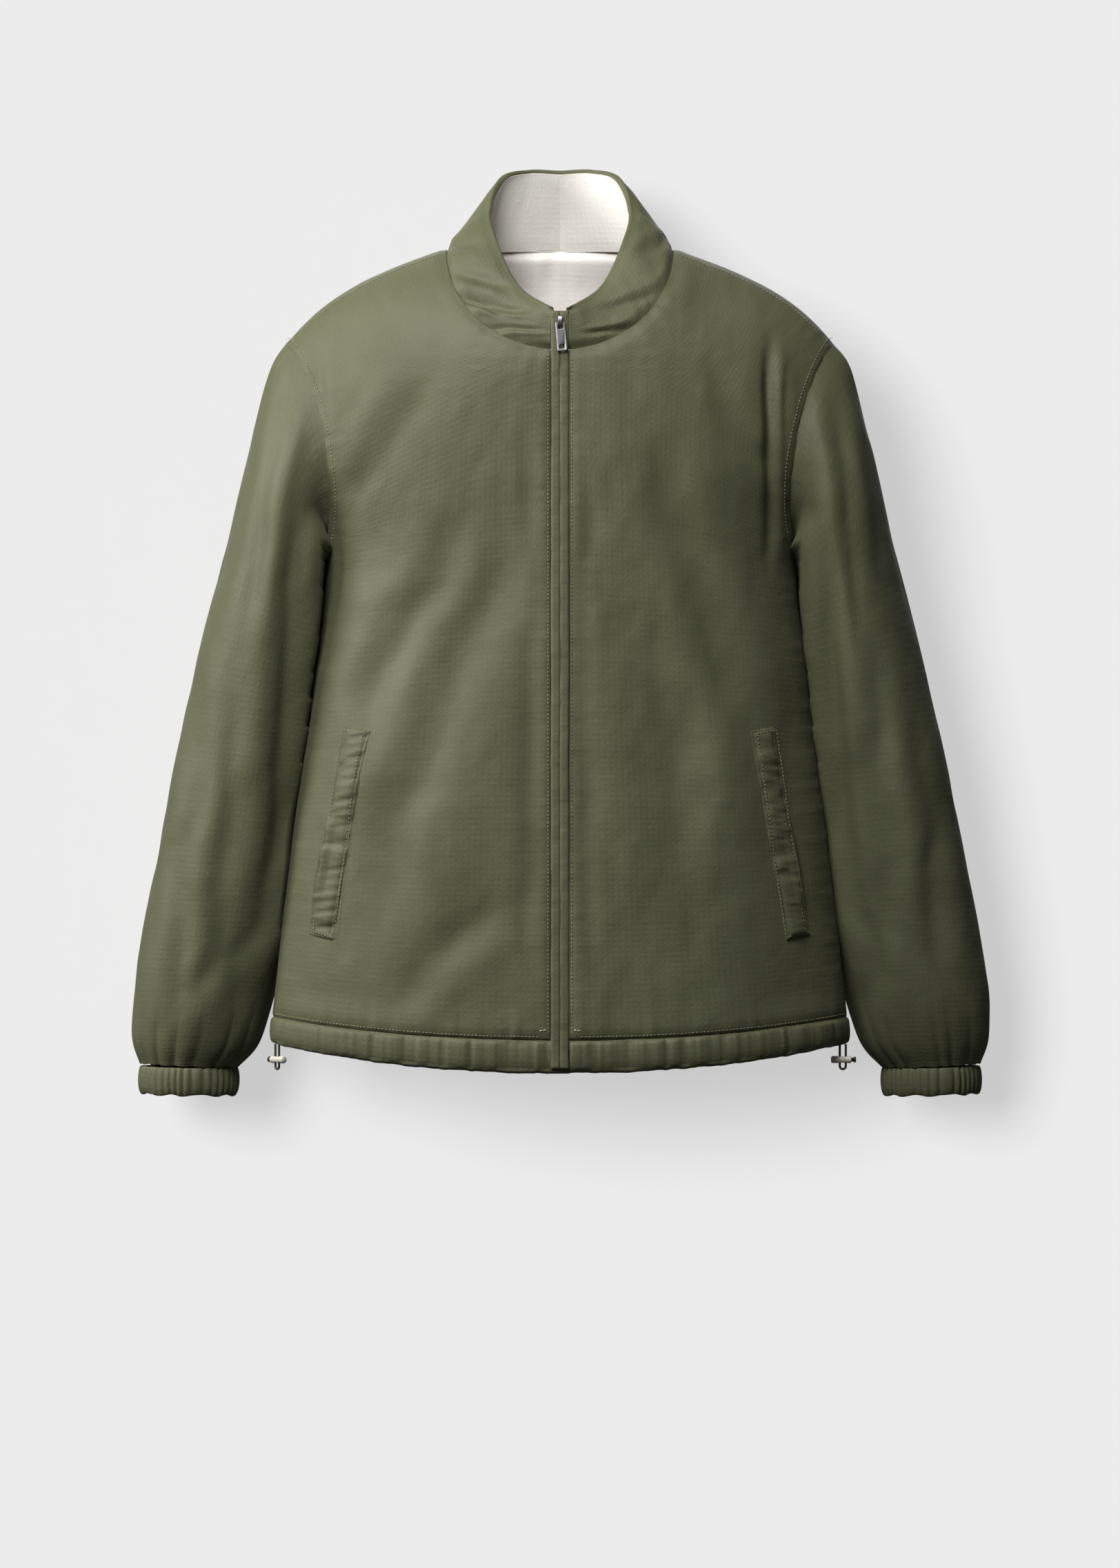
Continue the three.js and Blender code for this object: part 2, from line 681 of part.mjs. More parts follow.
function addBridge() {
  const outline = new THREE.Shape();
  outline.absellipse(0, 0, ringDepth / 2, ringHeight / 2, 0, 2 * Math.PI);
  const hole = new THREE.Path();
  hole.absellipse(0, 0, ringDepth / 2 - ringWall, ringHeight / 2 - ringWall, 0, 2 * Math.PI);
  outline.holes.push(hole);
  const ringWidth = 3;
  const ring = new THREE.ExtrudeGeometry(outline, { depth: ringWidth, bevelEnabled: false, curveSegments: 8 });
  ring.translate(0, 0, -ringWidth / 2);
  ring.applyMatrix4(new THREE.Matrix4().makeBasis(
    new THREE.Vector3(0, 1, 0), new THREE.Vector3(0, 0, 1), new THREE.Vector3(1, 0, 0),
  ));
  ring.translate(0, ringMiddle[0], ringMiddle[1]);
  const bladeHalf = guardHalf - layerGap;
  const bladeFront = ringMiddle[0] + ringDepth / 2 - ringWall / 2;
  const bladeReach = [ringMiddle[1] - ringHeight / 4, ringMiddle[1] + ringHeight / 4];
  const blade = block([-bladeHalf, bladeHalf], [bladeFront, platePlane - layerGap], bladeReach);
  addPart(zip, 'slider_bridge', joined([ring, blade]), 'metal');
}

function rectanglePath(kind, [x0, x1], [y0, y1]) {
  const path = new kind();
  path.moveTo(x0, y0);
  path.lineTo(x1, y0);
  path.lineTo(x1, y1);
  path.lineTo(x0, y1);
  path.closePath();
  return path;
}

function addPuller() {
  const barHalf = 0.7;
  const half = pullerWidth / 2;
  const windowHalf = half - 2;
  const foot = barHalf - pullerLength;
  const plate = rectanglePath(THREE.Shape, [-half, half], [foot, barHalf]);
  plate.holes.push(rectanglePath(THREE.Path, [-windowHalf, windowHalf], [-barHalf - 4.4, -barHalf]));
  plate.holes.push(rectanglePath(THREE.Path, [-windowHalf, windowHalf], [foot + 1.4, foot + 5.2]));
  const puller = new THREE.ExtrudeGeometry(plate, { depth: pullerThickness, bevelEnabled: false });
  puller.translate(0, 0, -pullerThickness / 2);
  puller.rotateX(Math.PI / 2);
  const mesh = addPart(zip, 'zip_puller', puller, 'metal');
  mesh.position.set(0, pullerPivot[0], pullerPivot[1]);
  mesh.rotation.y = -degToRad(pullerTilt);
}

// ---------- drawcord and locks ----------

function cordTube(points, steps) {
  const path = new THREE.CatmullRomCurve3(points);
  const section = new THREE.Shape();
  section.absarc(0, 0, cordDiameter / 2, 0, 2 * Math.PI);
  return new THREE.ExtrudeGeometry(section, { steps, extrudePath: path, bevelEnabled: false, curveSegments: 4 });
}

// Points along the middle of the hem channel between two shares of a panel's width.
function channelRun(front, from, to, count) {
  return evenly(count, from, to).map((t) => placeOnHem(front)(t, channelLevel, channelCentre));
}

const lockShare = (Math.asin((lockOut - zipHalf) / (hemHalf - zipHalf - 1)) * 2) / Math.PI;

function addDrawcord() {
  for (const [side, sign] of Object.entries(sides)) {
    const run = channelRun(true, 2.5 * tapeSeat, lockShare - 0.06, 12);
    for (const point of run) point.x *= sign;
    addPart(jacket, `${side}_front_drawcord`, cordTube(run, 20), 'elastic');
  }
  addPart(jacket, 'back_drawcord', cordTube(channelRun(false, -0.96, 0.96, 30), 48), 'elastic');
}

const lockYaw = { right: 50, left: 0 };
const lockDepth = bodyDepth(lockOut, 9 - lockDrop, true) - channelCentre;

function addLock(side, sign) {
  const lock = new THREE.Group();
  lock.position.set(sign * lockOut, -lockDepth, -lockDrop);
  lock.rotation.z = sign < 0 ? Math.PI - degToRad(lockYaw[side]) : degToRad(lockYaw[side]);
  jacket.add(lock);
  const legs = legSpacing / 2 + cordDiameter / 2 + layerGap;
  const boreRadius = lockRadius - 0.9;
  const shaftRadius = boreRadius - layerGap;
  const shaftBack = -legs - 1.1;
  const springRoom = buttonTravel + 1.7;
  const boreBack = shaftBack - springRoom;
  const bodyFront = legs + buttonTravel + 1.2;
  const lathe = (profile) => {
    const points = profile.map(([radius, along]) => new THREE.Vector2(radius, along));
    return new THREE.LatheGeometry(points, 16).rotateZ(-Math.PI / 2);
  };
  const barrel = lathe([
    [0, boreBack - 1.2], [lockRadius - 0.8, boreBack - 1.2], [lockRadius, boreBack - 0.2],
    [lockRadius, bodyFront], [boreRadius, bodyFront], [boreRadius, boreBack], [0, boreBack],
  ]);
  const slotHalf = cordDiameter / 2 + layerGap;
  const slot = (from, to) => block([from, to], [-slotHalf, slotHalf], [-2 * lockRadius, 2 * lockRadius]);
  const body = toManifold(barrel).subtract(toManifold(slot(-legs, legs)));
  addPart(lock, `${side}_lock_body`, toGeometry(body), 'lock');
  const headBack = bodyFront + buttonTravel + layerGap;
  const plunger = lathe([
    [0, shaftBack], [shaftRadius, shaftBack], [shaftRadius, headBack],
    [lockRadius - 0.5, headBack], [lockRadius - 0.5, headBack + 1.2], [lockRadius - 1.3, headBack + 1.8],
    [0, headBack + 1.8],
  ]);
  const button = toManifold(plunger).subtract(toManifold(slot(-legs, legs + buttonTravel)));
  addPart(lock, `${side}_lock_button`, toGeometry(button), 'button');
  const spring = lathe([
    [boreRadius - 0.8, boreBack + layerGap], [boreRadius - layerGap, boreBack + layerGap],
    [boreRadius - layerGap, shaftBack - layerGap], [boreRadius - 0.8, shaftBack - layerGap],
    [boreRadius - 0.8, boreBack + layerGap],
  ]);
  addPart(lock, `${side}_lock_spring`, spring, 'metal');
  addLoop(side, lock);
}

// The loop leaves the hem, passes down through the lock, turns and comes back up.
function addLoop(side, lock) {
  const half = legSpacing / 2;
  const exit = 10.5;
  const turnHeight = -loopReach + half + cordDiameter / 2;
  const down = evenly(6, exit, turnHeight).map((z) => new THREE.Vector3(-half, 0, z));
  const turn = evenly(8).slice(1, -1).map((s) => {
    const angle = Math.PI * (1 + s);
    return new THREE.Vector3(half * Math.cos(angle), 0, turnHeight + half * Math.sin(angle));
  });
  const up = evenly(6, turnHeight, exit).map((z) => new THREE.Vector3(half, 0, z));
  addPart(lock, `${side}_cord_loop`, cordTube([...down, ...turn, ...up], 22), 'elastic');
}

// ---------- the whole jacket ----------

addBodyPanels();
addHem();
addCollar();
for (const [side, sign] of Object.entries(sides)) {
  addSleeve(side, sign);
  addCuff(side, sign);
  addPocket(side, sign);
  addZipHalf(side, sign);
  addLock(side, sign);
}
addZipFoot();
addSlider();
addBridge();
addPuller();
addDrawcord();

export default jacket;
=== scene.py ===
import math

import bmesh
import bpy
import numpy as np
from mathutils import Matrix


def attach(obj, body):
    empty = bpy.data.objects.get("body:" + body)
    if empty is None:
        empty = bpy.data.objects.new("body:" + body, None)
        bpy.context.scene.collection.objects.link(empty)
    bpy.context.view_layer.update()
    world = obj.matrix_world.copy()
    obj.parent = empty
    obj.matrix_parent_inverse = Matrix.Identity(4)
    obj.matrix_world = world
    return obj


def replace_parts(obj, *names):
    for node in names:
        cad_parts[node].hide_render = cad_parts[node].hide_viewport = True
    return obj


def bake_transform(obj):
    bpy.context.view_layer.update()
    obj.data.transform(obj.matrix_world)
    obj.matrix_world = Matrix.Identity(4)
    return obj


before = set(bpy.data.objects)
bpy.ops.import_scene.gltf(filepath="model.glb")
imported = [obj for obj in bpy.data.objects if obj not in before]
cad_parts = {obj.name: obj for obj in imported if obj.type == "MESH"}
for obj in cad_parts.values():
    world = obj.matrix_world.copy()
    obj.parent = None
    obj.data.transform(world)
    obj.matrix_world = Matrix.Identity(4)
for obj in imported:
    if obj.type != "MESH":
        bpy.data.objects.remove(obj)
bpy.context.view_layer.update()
mm = 0.001
scene = bpy.context.scene
scene.view_settings.view_transform = "Standard"
scene.view_settings.look = "None"


# Camera, light and stage

cameraSizes = {"distance": 6.21, "height": -0.4545, "lens": 170.0, "film": 36.0}


def addCamera():
    data = bpy.data.cameras.new("camera")
    data.lens = cameraSizes["lens"]
    data.sensor_width = cameraSizes["film"]
    camera = bpy.data.objects.new("camera", data)
    camera.location = (0, -cameraSizes["distance"], cameraSizes["height"])
    camera.rotation_euler = (math.pi / 2, 0, 0)
    scene.collection.objects.link(camera)
    scene.camera = camera


addCamera()
print("camera in place")

# Helpers for numbers


def mix(a, b, share):
    return a + (b - a) * share


def eased(value, low, high):
    share = np.clip((value - low) / (high - low), 0, 1)
    return share * share * (3 - 2 * share)


lattice = np.random.default_rng(11).random((64, 64)) * 2 - 1


def softNoise(a, b, seed=0):  # from -1 to 1, about one bump for each unit
    a = np.asarray(a, float) + 17.3 * seed
    b = np.asarray(b, float) + 5.7 * seed
    i, j = np.floor(a).astype(int), np.floor(b).astype(int)
    s, t = a - i, b - j
    s, t = s**3 * (s * (s * 6 - 15) + 10), t**3 * (t * (t * 6 - 15) + 10)
    i0, i1, j0, j1 = i % 64, (i + 1) % 64, j % 64, (j + 1) % 64
    low = lattice[i0, j0] * (1 - s) + lattice[i1, j0] * s
    high = lattice[i0, j1] * (1 - s) + lattice[i1, j1] * s
    return low * (1 - t) + high * t


def unit(vectors):
    size = np.linalg.norm(vectors, axis=-1, keepdims=True)
    return vectors / np.maximum(size, 1e-9)


def nearLine(x, z, line):  # distance to a polyline in the x, z plane, and how far along it
    line = np.asarray(line, float)
    best = np.full(x.shape, 1e9)
    along = np.zeros(x.shape)
    run = 0.0
    for (x0, z0), (x1, z1) in zip(line[:-1], line[1:]):
        length = math.hypot(x1 - x0, z1 - z0)
        share = np.clip(((x - x0) * (x1 - x0) + (z - z0) * (z1 - z0)) / max(length**2, 1e-9), 0, 1)
        away = np.hypot(x - x0 - share * (x1 - x0), z - z0 - share * (z1 - z0))
        closer = away < best
        best = np.where(closer, away, best)
        along = np.where(closer, run + share * length, along)
        run += length
    return best, along


def gridNormals(points, closed=False):
    if closed:
        across = np.roll(points, -1, 1) - np.roll(points, 1, 1)
    else:
        across = np.gradient(points, axis=1)
    down = np.gradient(points, axis=0)
    return unit(np.cross(across, down))


# Materials


def linear(hexColour):
    parts = [int(hexColour[i : i + 2], 16) / 255 for i in (1, 3, 5)]
    return [c / 12.92 if c <= 0.04045 else ((c + 0.055) / 1.055) ** 2.4 for c in parts] + [1.0]


def addNode(tree, kind, inputs=None, **settings):
    node = tree.nodes.new(kind)
    for name, value in settings.items():
        setattr(node, name, value)
    for name, value in (inputs or {}).items():
        if isinstance(value, bpy.types.NodeSocket):
            tree.links.new(value, node.inputs[name])
        else:
            node.inputs[name].default_value = value
    return node


def startMaterial(name):
    material = bpy.data.materials.new(name)
    material.use_nodes = True
    tree = material.node_tree
    tree.nodes.clear()
    shader = addNode(tree, "ShaderNodeBsdfPrincipled")
    addNode(tree, "ShaderNodeOutputMaterial", {"Surface": shader.outputs[0]})
    return material, tree, shader


def wovenCloth(name, low, high, roughness, sheen, thread, crinkle, crinkleDepth):
    # A plain weave: threads over and under, lightly crinkled, with slow shifts of dye.
    material, tree, shader = startMaterial(name)
    place = addNode(tree, "ShaderNodeUVMap").outputs[0]
    blotch = addNode(tree, "ShaderNodeTexNoise", {"Vector": place, "Scale": 1 / 0.07, "Detail": 4.0})
    slub = addNode(tree, "ShaderNodeTexNoise", {"Vector": place, "Scale": 1 / 0.0022, "Detail": 3.0})
    tone = addNode(
        tree, "ShaderNodeMath", {0: blotch.outputs["Fac"], 1: slub.outputs["Fac"]}, operation="ADD"
    )
    half = addNode(tree, "ShaderNodeMath", {0: tone.outputs[0], 1: 0.5}, operation="MULTIPLY")
    ramp = addNode(tree, "ShaderNodeValToRGB", {"Fac": half.outputs[0]})
    for stop, position, colour in zip(ramp.color_ramp.elements, (0.35, 0.65), (low, high)):
        stop.position = position
        stop.color = linear(colour)
    tree.links.new(ramp.outputs["Color"], shader.inputs["Base Color"])
    warp = addNode(
        tree, "ShaderNodeTexWave", {"Vector": place, "Scale": 1 / (20 * thread), "Distortion": 0.6}
    )
    weft = addNode(
        tree,
        "ShaderNodeTexWave",
        {"Vector": place, "Scale": 1 / (20 * thread), "Distortion": 0.6},
        bands_direction="Y",
    )
    weave = addNode(
        tree, "ShaderNodeMath", {0: warp.outputs["Fac"], 1: weft.outputs["Fac"]}, operation="MULTIPLY"
    )
    rumple = addNode(tree, "ShaderNodeTexNoise", {"Vector": place, "Scale": 1 / crinkle, "Detail": 5.0})
    coarse = addNode(
        tree,
        "ShaderNodeBump",
        {"Height": rumple.outputs["Fac"], "Distance": crinkleDepth, "Strength": 1.0},
    )
    fine = addNode(
        tree,
        "ShaderNodeBump",
        {
            "Height": weave.outputs[0],
            "Distance": thread * 0.25,
            "Strength": 0.5,
            "Normal": coarse.outputs[0],
        },
    )
    tree.links.new(fine.outputs[0], shader.inputs["Normal"])
    shader.inputs["Roughness"].default_value = roughness
    shader.inputs["IOR"].default_value = 1.5
    shader.inputs["Sheen Weight"].default_value = sheen
    shader.inputs["Sheen Roughness"].default_value = 0.4
    shader.inputs["Specular IOR Level"].default_value = 0.35
    return material


def castMetal(name, low, high, roughness, grain):
    # Die-cast zinc, nickel plated and tumbled: dull grey mirror with a faint pitted skin.
    material, tree, shader = startMaterial(name)
    place = addNode(tree, "ShaderNodeTexCoord").outputs["Object"]
    wear = addNode(tree, "ShaderNodeTexNoise", {"Vector": place, "Scale": 1 / grain, "Detail": 4.0})
    ramp = addNode(tree, "ShaderNodeValToRGB", {"Fac": wear.outputs["Fac"]})
    ramp.color_ramp.elements[0].color = linear(low)
    ramp.color_ramp.elements[1].color = linear(high)
    bump = addNode(tree, "ShaderNodeBump", {"Height": wear.outputs["Fac"], "Distance": 0.00005})
    tree.links.new(ramp.outputs["Color"], shader.inputs["Base Color"])
    tree.links.new(bump.outputs[0], shader.inputs["Normal"])
    shader.inputs["Metallic"].default_value = 1.0
    shader.inputs["Roughness"].default_value = roughness
    return material


def mouldedPlastic(name, low, high, roughness):
    # Moulded acetal: smooth and slightly waxy, with a fine spark-eroded texture from its mould.
    material, tree, shader = startMaterial(name)
    place = addNode(tree, "ShaderNodeTexCoord").outputs["Object"]
    grain = addNode(tree, "ShaderNodeTexNoise", {"Vector": place, "Scale": 1 / 0.0006, "Detail": 3.0})
    ramp = addNode(tree, "ShaderNodeValToRGB", {"Fac": grain.outputs["Fac"]})
    ramp.color_ramp.elements[0].color = linear(low)
    ramp.color_ramp.elements[1].color = linear(high)
    bump = addNode(tree, "ShaderNodeBump", {"Height": grain.outputs["Fac"], "Distance": 0.00004})
    tree.links.new(ramp.outputs["Color"], shader.inputs["Base Color"])
    tree.links.new(bump.outputs[0], shader.inputs["Normal"])
    shader.inputs["Roughness"].default_value = roughness
    shader.inputs["IOR"].default_value = 1.48
    return material


# Threads are 0.3 mm apart in the real cloth; the weave is drawn at 0.7 mm so that it shows at all.
shellCloth = wovenCloth("olive_nylon_taffeta", "#57593f", "#61634a", 0.6, 0.05, 0.0007, 0.016, 0.0007)
liningCloth = wovenCloth("off_white_lining_taffeta", "#ece7e0", "#f6f2ec", 0.55, 0.1, 0.0007, 0.02, 0.0006)
tapeCloth = wovenCloth("olive_zip_tape_twill", "#3f4032", "#4a4b3b", 0.85, 0.1, 0.0009, 0.01, 0.0001)
elasticCloth = wovenCloth("knitted_elastic", "#d8d2c6", "#e2ddd2", 0.9, 0.1, 0.0011, 0.006, 0.0002)
threadCloth = wovenCloth("olive_polyester_thread", "#7c7e65", "#8b8d72", 0.55, 0.0, 0.0004, 0.002, 0.0001)
tackThread = wovenCloth("white_cotton_tack", "#d9d5cb", "#e8e4da", 0.8, 0.0, 0.0004, 0.002, 0.0001)
cordCloth = wovenCloth("braided_olive_cord", "#3c3d30", "#4c4d3e", 0.8, 0.1, 0.0008, 0.003, 0.0002)
zipMetal = castMetal("tumbled_nickel_zinc", "#85858a", "#a3a3a9", 0.45, 0.0012)
lockPlastic = mouldedPlastic("cream_acetal", "#cfc8b9", "#ddd7ca", 0.45)
buttonPlastic = mouldedPlastic("black_acetal", "#1f1e1b", "#2b2a26", 0.4)
print("materials made")


# Mesh making


def addMesh(name, points, faces, material, body=None, smooth=True, uvs=None):
    mesh = bpy.data.meshes.new(name)
    mesh.from_pydata((np.asarray(points) * mm).tolist(), [], faces)
    mesh.validate()
    if uvs is not None:
        layer = mesh.uv_layers.new(name="flat")
        corner = np.empty(len(mesh.loops), int)
        mesh.loops.foreach_get("vertex_index", corner)
        layer.data.foreach_set("uv", (np.asarray(uvs)[corner] * mm).astype(np.float32).ravel())
    mesh.materials.append(material)
    if smooth:
        mesh.shade_smooth()
    thing = bpy.data.objects.new(name, mesh)
    scene.collection.objects.link(thing)
    if body:
        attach(thing, body)
    return thing


def gridFaces(rows, columns, start=0, closed=False, flip=False):
    across = columns if closed else columns - 1
    i = np.arange(across)
    j = np.arange(rows - 1)[:, None]
    a = start + j * columns + i
    b = start + j * columns + (i + 1) % columns
    quads = np.stack([a, b, b + columns, a + columns], -1).reshape(-1, 4)
    return (quads[:, ::-1] if flip else quads).tolist()


def flatPlaces(points):  # cloth coordinates in mm: lengths along the middle row and column
    middle = points[points.shape[0] // 2]
    column = points[:, points.shape[1] // 2]
    across = np.concatenate([[0], np.cumsum(np.linalg.norm(np.diff(middle, axis=0), axis=1))])
    down = np.concatenate([[0], np.cumsum(np.linalg.norm(np.diff(column, axis=0), axis=1))])
    return np.stack(np.meshgrid(across, down), -1).reshape(-1, 2)


def addSlab(name, outer, inner, material, body=None, closed=False, flip=False):
    rows, columns = outer.shape[:2]
    count = rows * columns
    points = np.concatenate([outer.reshape(-1, 3), inner.reshape(-1, 3)])
    faces = gridFaces(rows, columns, 0, closed, flip) + gridFaces(rows, columns, count, closed, not flip)
    rim = [np.arange(columns), (rows - 1) * columns + np.arange(columns)]
    for k, edge in enumerate(rim):
        ends = np.roll(edge, -1) if closed else edge[1:]
        starts = edge if closed else edge[:-1]
        for a, b in zip(starts, ends):
            quad = [int(a), int(b), int(b + count), int(a + count)]
            faces.append(quad[::-1] if (k == 0) != flip else quad)
    if not closed:
        for k, column in enumerate([0, columns - 1]):
            edge = np.arange(rows) * columns + column
            for a, b in zip(edge[:-1], edge[1:]):
                quad = [int(a), int(b), int(b + count), int(a + count)]
                faces.append(quad if (k == 0) != flip else quad[::-1])
    uvs = flatPlaces(outer)
    return addMesh(name, points, faces, material, body, uvs=np.concatenate([uvs, uvs]))


def addTube(name, loops, material, body=None):  # closed loops of points in a row, capped at both ends
    loops = np.asarray(loops)
    rows, columns = loops.shape[:2]
    faces = gridFaces(rows, columns, 0, True)
    faces.append(list(range(columns))[::-1])
    faces.append([(rows - 1) * columns + i for i in range(columns)])
    return addMesh(name, loops.reshape(-1, 3), faces, material, body, uvs=flatPlaces(loops))


def cadCopy(node, name, material, body, bevel=0.0):  # the CAD piece with its edges softened
    mesh = bmesh.new()
    mesh.from_mesh(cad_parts[node].data)
    bmesh.ops.remove_doubles(mesh, verts=mesh.verts, dist=1e-6)
    bmesh.ops.dissolve_limit(mesh, angle_limit=0.01, verts=mesh.verts, edges=mesh.edges)
    if bevel:
        sharp = [e for e in mesh.edges if len(e.link_faces) == 2 and e.calc_face_angle(0) > 0.5]
        bmesh.ops.bevel(mesh, geom=sharp, offset=bevel * mm, segments=3, affect="EDGES", clamp_overlap=True)
    data = bpy.data.meshes.new(name)
    mesh.to_mesh(data)
    mesh.free()
    data.materials.clear()
    data.materials.append(material)
    data.polygons.foreach_set("material_index", [0] * len(data.polygons))
    data.shade_smooth()
    data.set_sharp_from_angle(angle=0.6)
    thing = bpy.data.objects.new(name, data)
    scene.collection.objects.link(thing)
    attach(thing, body)
    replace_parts(thing, node)
    return thing


# Cord loops at the hem, one by each side seam

lockSizes = {
    "out": 236.5,
    "drop": 685.0,
    "depth": 16.09,
    "legs": 2.5,
    "exit": 10.5,
    "reach": 9.0,
    "cord": 2.0,
}
lockTurn = {"right": (-0.6428, 0.7660), "left": (1.0, 0.0)}
sides = {"right": -1, "left": 1}


def cordLoop(side, sign):
    cut = lockSizes
    axisX, axisY = lockTurn[side]
    low = -cut["reach"] + cut["legs"] + cut["cord"] / 2
    route = [(-cut["legs"], z) for z in np.linspace(cut["exit"] + 2.5, low, 9)]
    for share in np.linspace(0, 1, 9)[1:-1]:
        angle = math.pi * (1 + share)
        route.append((cut["legs"] * math.cos(angle), low + cut["legs"] * math.sin(angle)))
    route += [(cut["legs"], z) for z in np.linspace(low, cut["exit"] + 2.5, 9)]
    curve = bpy.data.curves.new(f"{side}_hem_cord_loop", "CURVE")
    curve.dimensions = "3D"
    curve.bevel_depth = cut["cord"] / 2 * mm
    curve.bevel_resolution = 5
    curve.use_fill_caps = True
    line = curve.splines.new("POLY")
    line.points.add(len(route) - 1)
    for spot, (along, up) in zip(line.points, route):
        x = sign * cut["out"] + axisX * along
        spot.co = (x * mm, (-cut["depth"] + axisY * along) * mm, (-cut["drop"] + up) * mm, 1)
    curve.materials.append(cordCloth)
    thing = bpy.data.objects.new(f"{side}_hem_cord_loop", curve)
    scene.collection.objects.link(thing)
    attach(thing, "root")
    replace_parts(thing, f"{side}_cord_loop")
    length = sum(math.dist(a, b) for a, b in zip(route[:-1], route[1:]))
    return thing, tuple(line.points[0].co[:3]), length * mm


loops = {side: cordLoop(side, sign) for side, sign in sides.items()}
print("cord loops made")

# The body's surface, as on the pattern

bodySizes = {
    "length": 690.0,
    "shoulderHalf": 230.0,
    "shoulderDrop": 86.0,
    "neckHalf": 96.0,
    "neckSink": 5.0,
    "neckDrop": 95.0,
    "chestHalf": 199.0,
    "underarmDrop": 252.0,
    "hemHalf": 246.0,
    "hemRise": 17.0,
    "hemBand": 24.0,
    "zipHalf": 7.4,
    "padding": 4.1,
    "liningDepth": 8.6,
}
neckHalf, neckSink, zipHalf = (bodySizes[key] for key in ("neckHalf", "neckSink", "zipHalf"))
shoulderHalf, shoulderDrop = bodySizes["shoulderHalf"], bodySizes["shoulderDrop"]
shoulderSpan, shoulderFall = shoulderHalf - neckHalf, shoulderDrop - neckSink
chestHalf, underarmDrop = bodySizes["chestHalf"], bodySizes["underarmDrop"]
armholeMiddle, armholeHalf = (shoulderDrop + underarmDrop) / 2, (underarmDrop - shoulderDrop) / 2
widthKeys = np.array(  # height, and half the body's width there
    [
        [0, 260],
        [-shoulderDrop, 250],
        [-armholeMiddle, 232],
        [-underarmDrop, chestHalf],
        [-369.5, 208],
        [-487, 223],
        [-bodySizes["length"], bodySizes["hemHalf"]],
    ],
    float,
)
widthSlopes = np.array(
    [
        (widthKeys[min(j + 1, 6), 1] - widthKeys[max(j - 1, 0), 1])
        / (widthKeys[min(j + 1, 6), 0] - widthKeys[max(j - 1, 0), 0])
        for j in range(7)
    ]
)


def halfWidth(z):
    z = np.asarray(z, float)
    i = np.searchsorted(-widthKeys[1:-1, 0], -z, "left") + 1
    z0, a0 = widthKeys[i - 1, 0], widthKeys[i - 1, 1]
    z1, a1 = widthKeys[i, 0], widthKeys[i, 1]
    t = np.clip((z - z0) / (z1 - z0), 0, 1)
    bend0, bend1 = widthSlopes[i - 1] * (z1 - z0), widthSlopes[i] * (z1 - z0)
    return (
        (2 * t**3 - 3 * t**2 + 1) * a0
        + (t**3 - 2 * t**2 + t) * bend0
        + (3 * t**2 - 2 * t**3) * a1
        + (t**3 - t**2) * bend1
    )


def ridge(x):  # height of the shoulder's crest
    out = (np.abs(x) - neckHalf) / shoulderSpan
    return -neckSink - shoulderFall * np.where(out > 0, 0.62 * out + 0.38 * np.clip(out, 0, 1) ** 4, out)


def crestRise(x):
    return ridge(x) + neckSink + shoulderFall / shoulderSpan * (x - neckHalf)


def crest(x, edge):  # the shoulder's height above a straight line from the neck to a panel's outer edge
    share = (x - neckHalf) / (edge - neckHalf)
    return np.where(x > neckHalf, crestRise(x) - crestRise(edge) * share, 0)


def zipDepth(z):
    return 85 + 13 * (z + 62) / -628


def bodyDepth(x, z, front):
    across = np.minimum(np.abs(x) / halfWidth(z), 1)
    below = np.clip((ridge(x) - z) / (150 if front else 90), 0, 1)
    depth = zipDepth(z) if front else mix(80, 88, np.clip(-z / 252, 0, 1))
    return depth * (1 - across**2.6) ** 0.62 * (1 - (1 - below) ** 2.2) ** 0.6


def bodyNormal(x, z, front):
    step = 0.5
    sign = np.where(x < 0, -1.0, 1.0)
    xIn = np.minimum(np.abs(x), halfWidth(z) - 3 * step)
    zIn = np.minimum(z, ridge(xIn) - 3 * step)
    dx = (bodyDepth(xIn + step, zIn, front) - bodyDepth(xIn - step, zIn, front)) / (2 * step)
    dz = (bodyDepth(xIn, zIn + step, front) - bodyDepth(xIn, zIn - step, front)) / (2 * step)
    side = -1.0 if front else 1.0
    return unit(np.stack([-dx * sign, np.full(np.shape(dx), side), -dz], -1))


def onBody(x, z, front, height=0.0):
    x, z = np.broadcast_arrays(np.asarray(x, float), np.asarray(z, float))
    depth = bodyDepth(x, z, front)
    base = np.stack([x, -depth if front else depth, z], -1)
    return base + bodyNormal(x, z, front) * np.asarray(height)[..., None]


def armholePoint(angle):
    rise = ((1 + np.sin(angle)) / 2) ** 2
    x = mix(chestHalf, shoulderHalf, rise) - 10 * np.cos(angle)
    return np.stack([x, -armholeMiddle + armholeHalf * np.sin(angle)], -1)


def hemSeam(share):
    return bodySizes["hemBand"] - bodySizes["length"] + bodySizes["hemRise"] * share


def outerEdge(v):
    z = mix(hemSeam(1), -underarmDrop, np.minimum(v / 0.6, 1))
    side = np.stack([halfWidth(z), z], -1)
    arm = armholePoint(mix(-math.pi / 2, math.pi / 2, np.clip((v - 0.6) / 0.4, 0, 1)))
    return np.where((v <= 0.6)[..., None], side, arm)


def neckFront(turn):
    drop = (bodySizes["neckDrop"] - neckSink) * np.cos(turn)
    return np.stack([neckHalf * np.sin(turn), -neckSink - drop], -1)


neckStart = math.asin(zipHalf / neckHalf)


def frontInnerEdge(v):
    z = mix(hemSeam(0), neckFront(neckStart)[1], np.minimum(v / 0.78, 1))
    low = np.stack([np.full(v.shape, zipHalf), z], -1)
    turn = mix(neckStart, math.pi / 2, np.clip((v - 0.78) / 0.22, 0, 1))
    return np.where((v <= 0.78)[..., None], low, neckFront(turn))


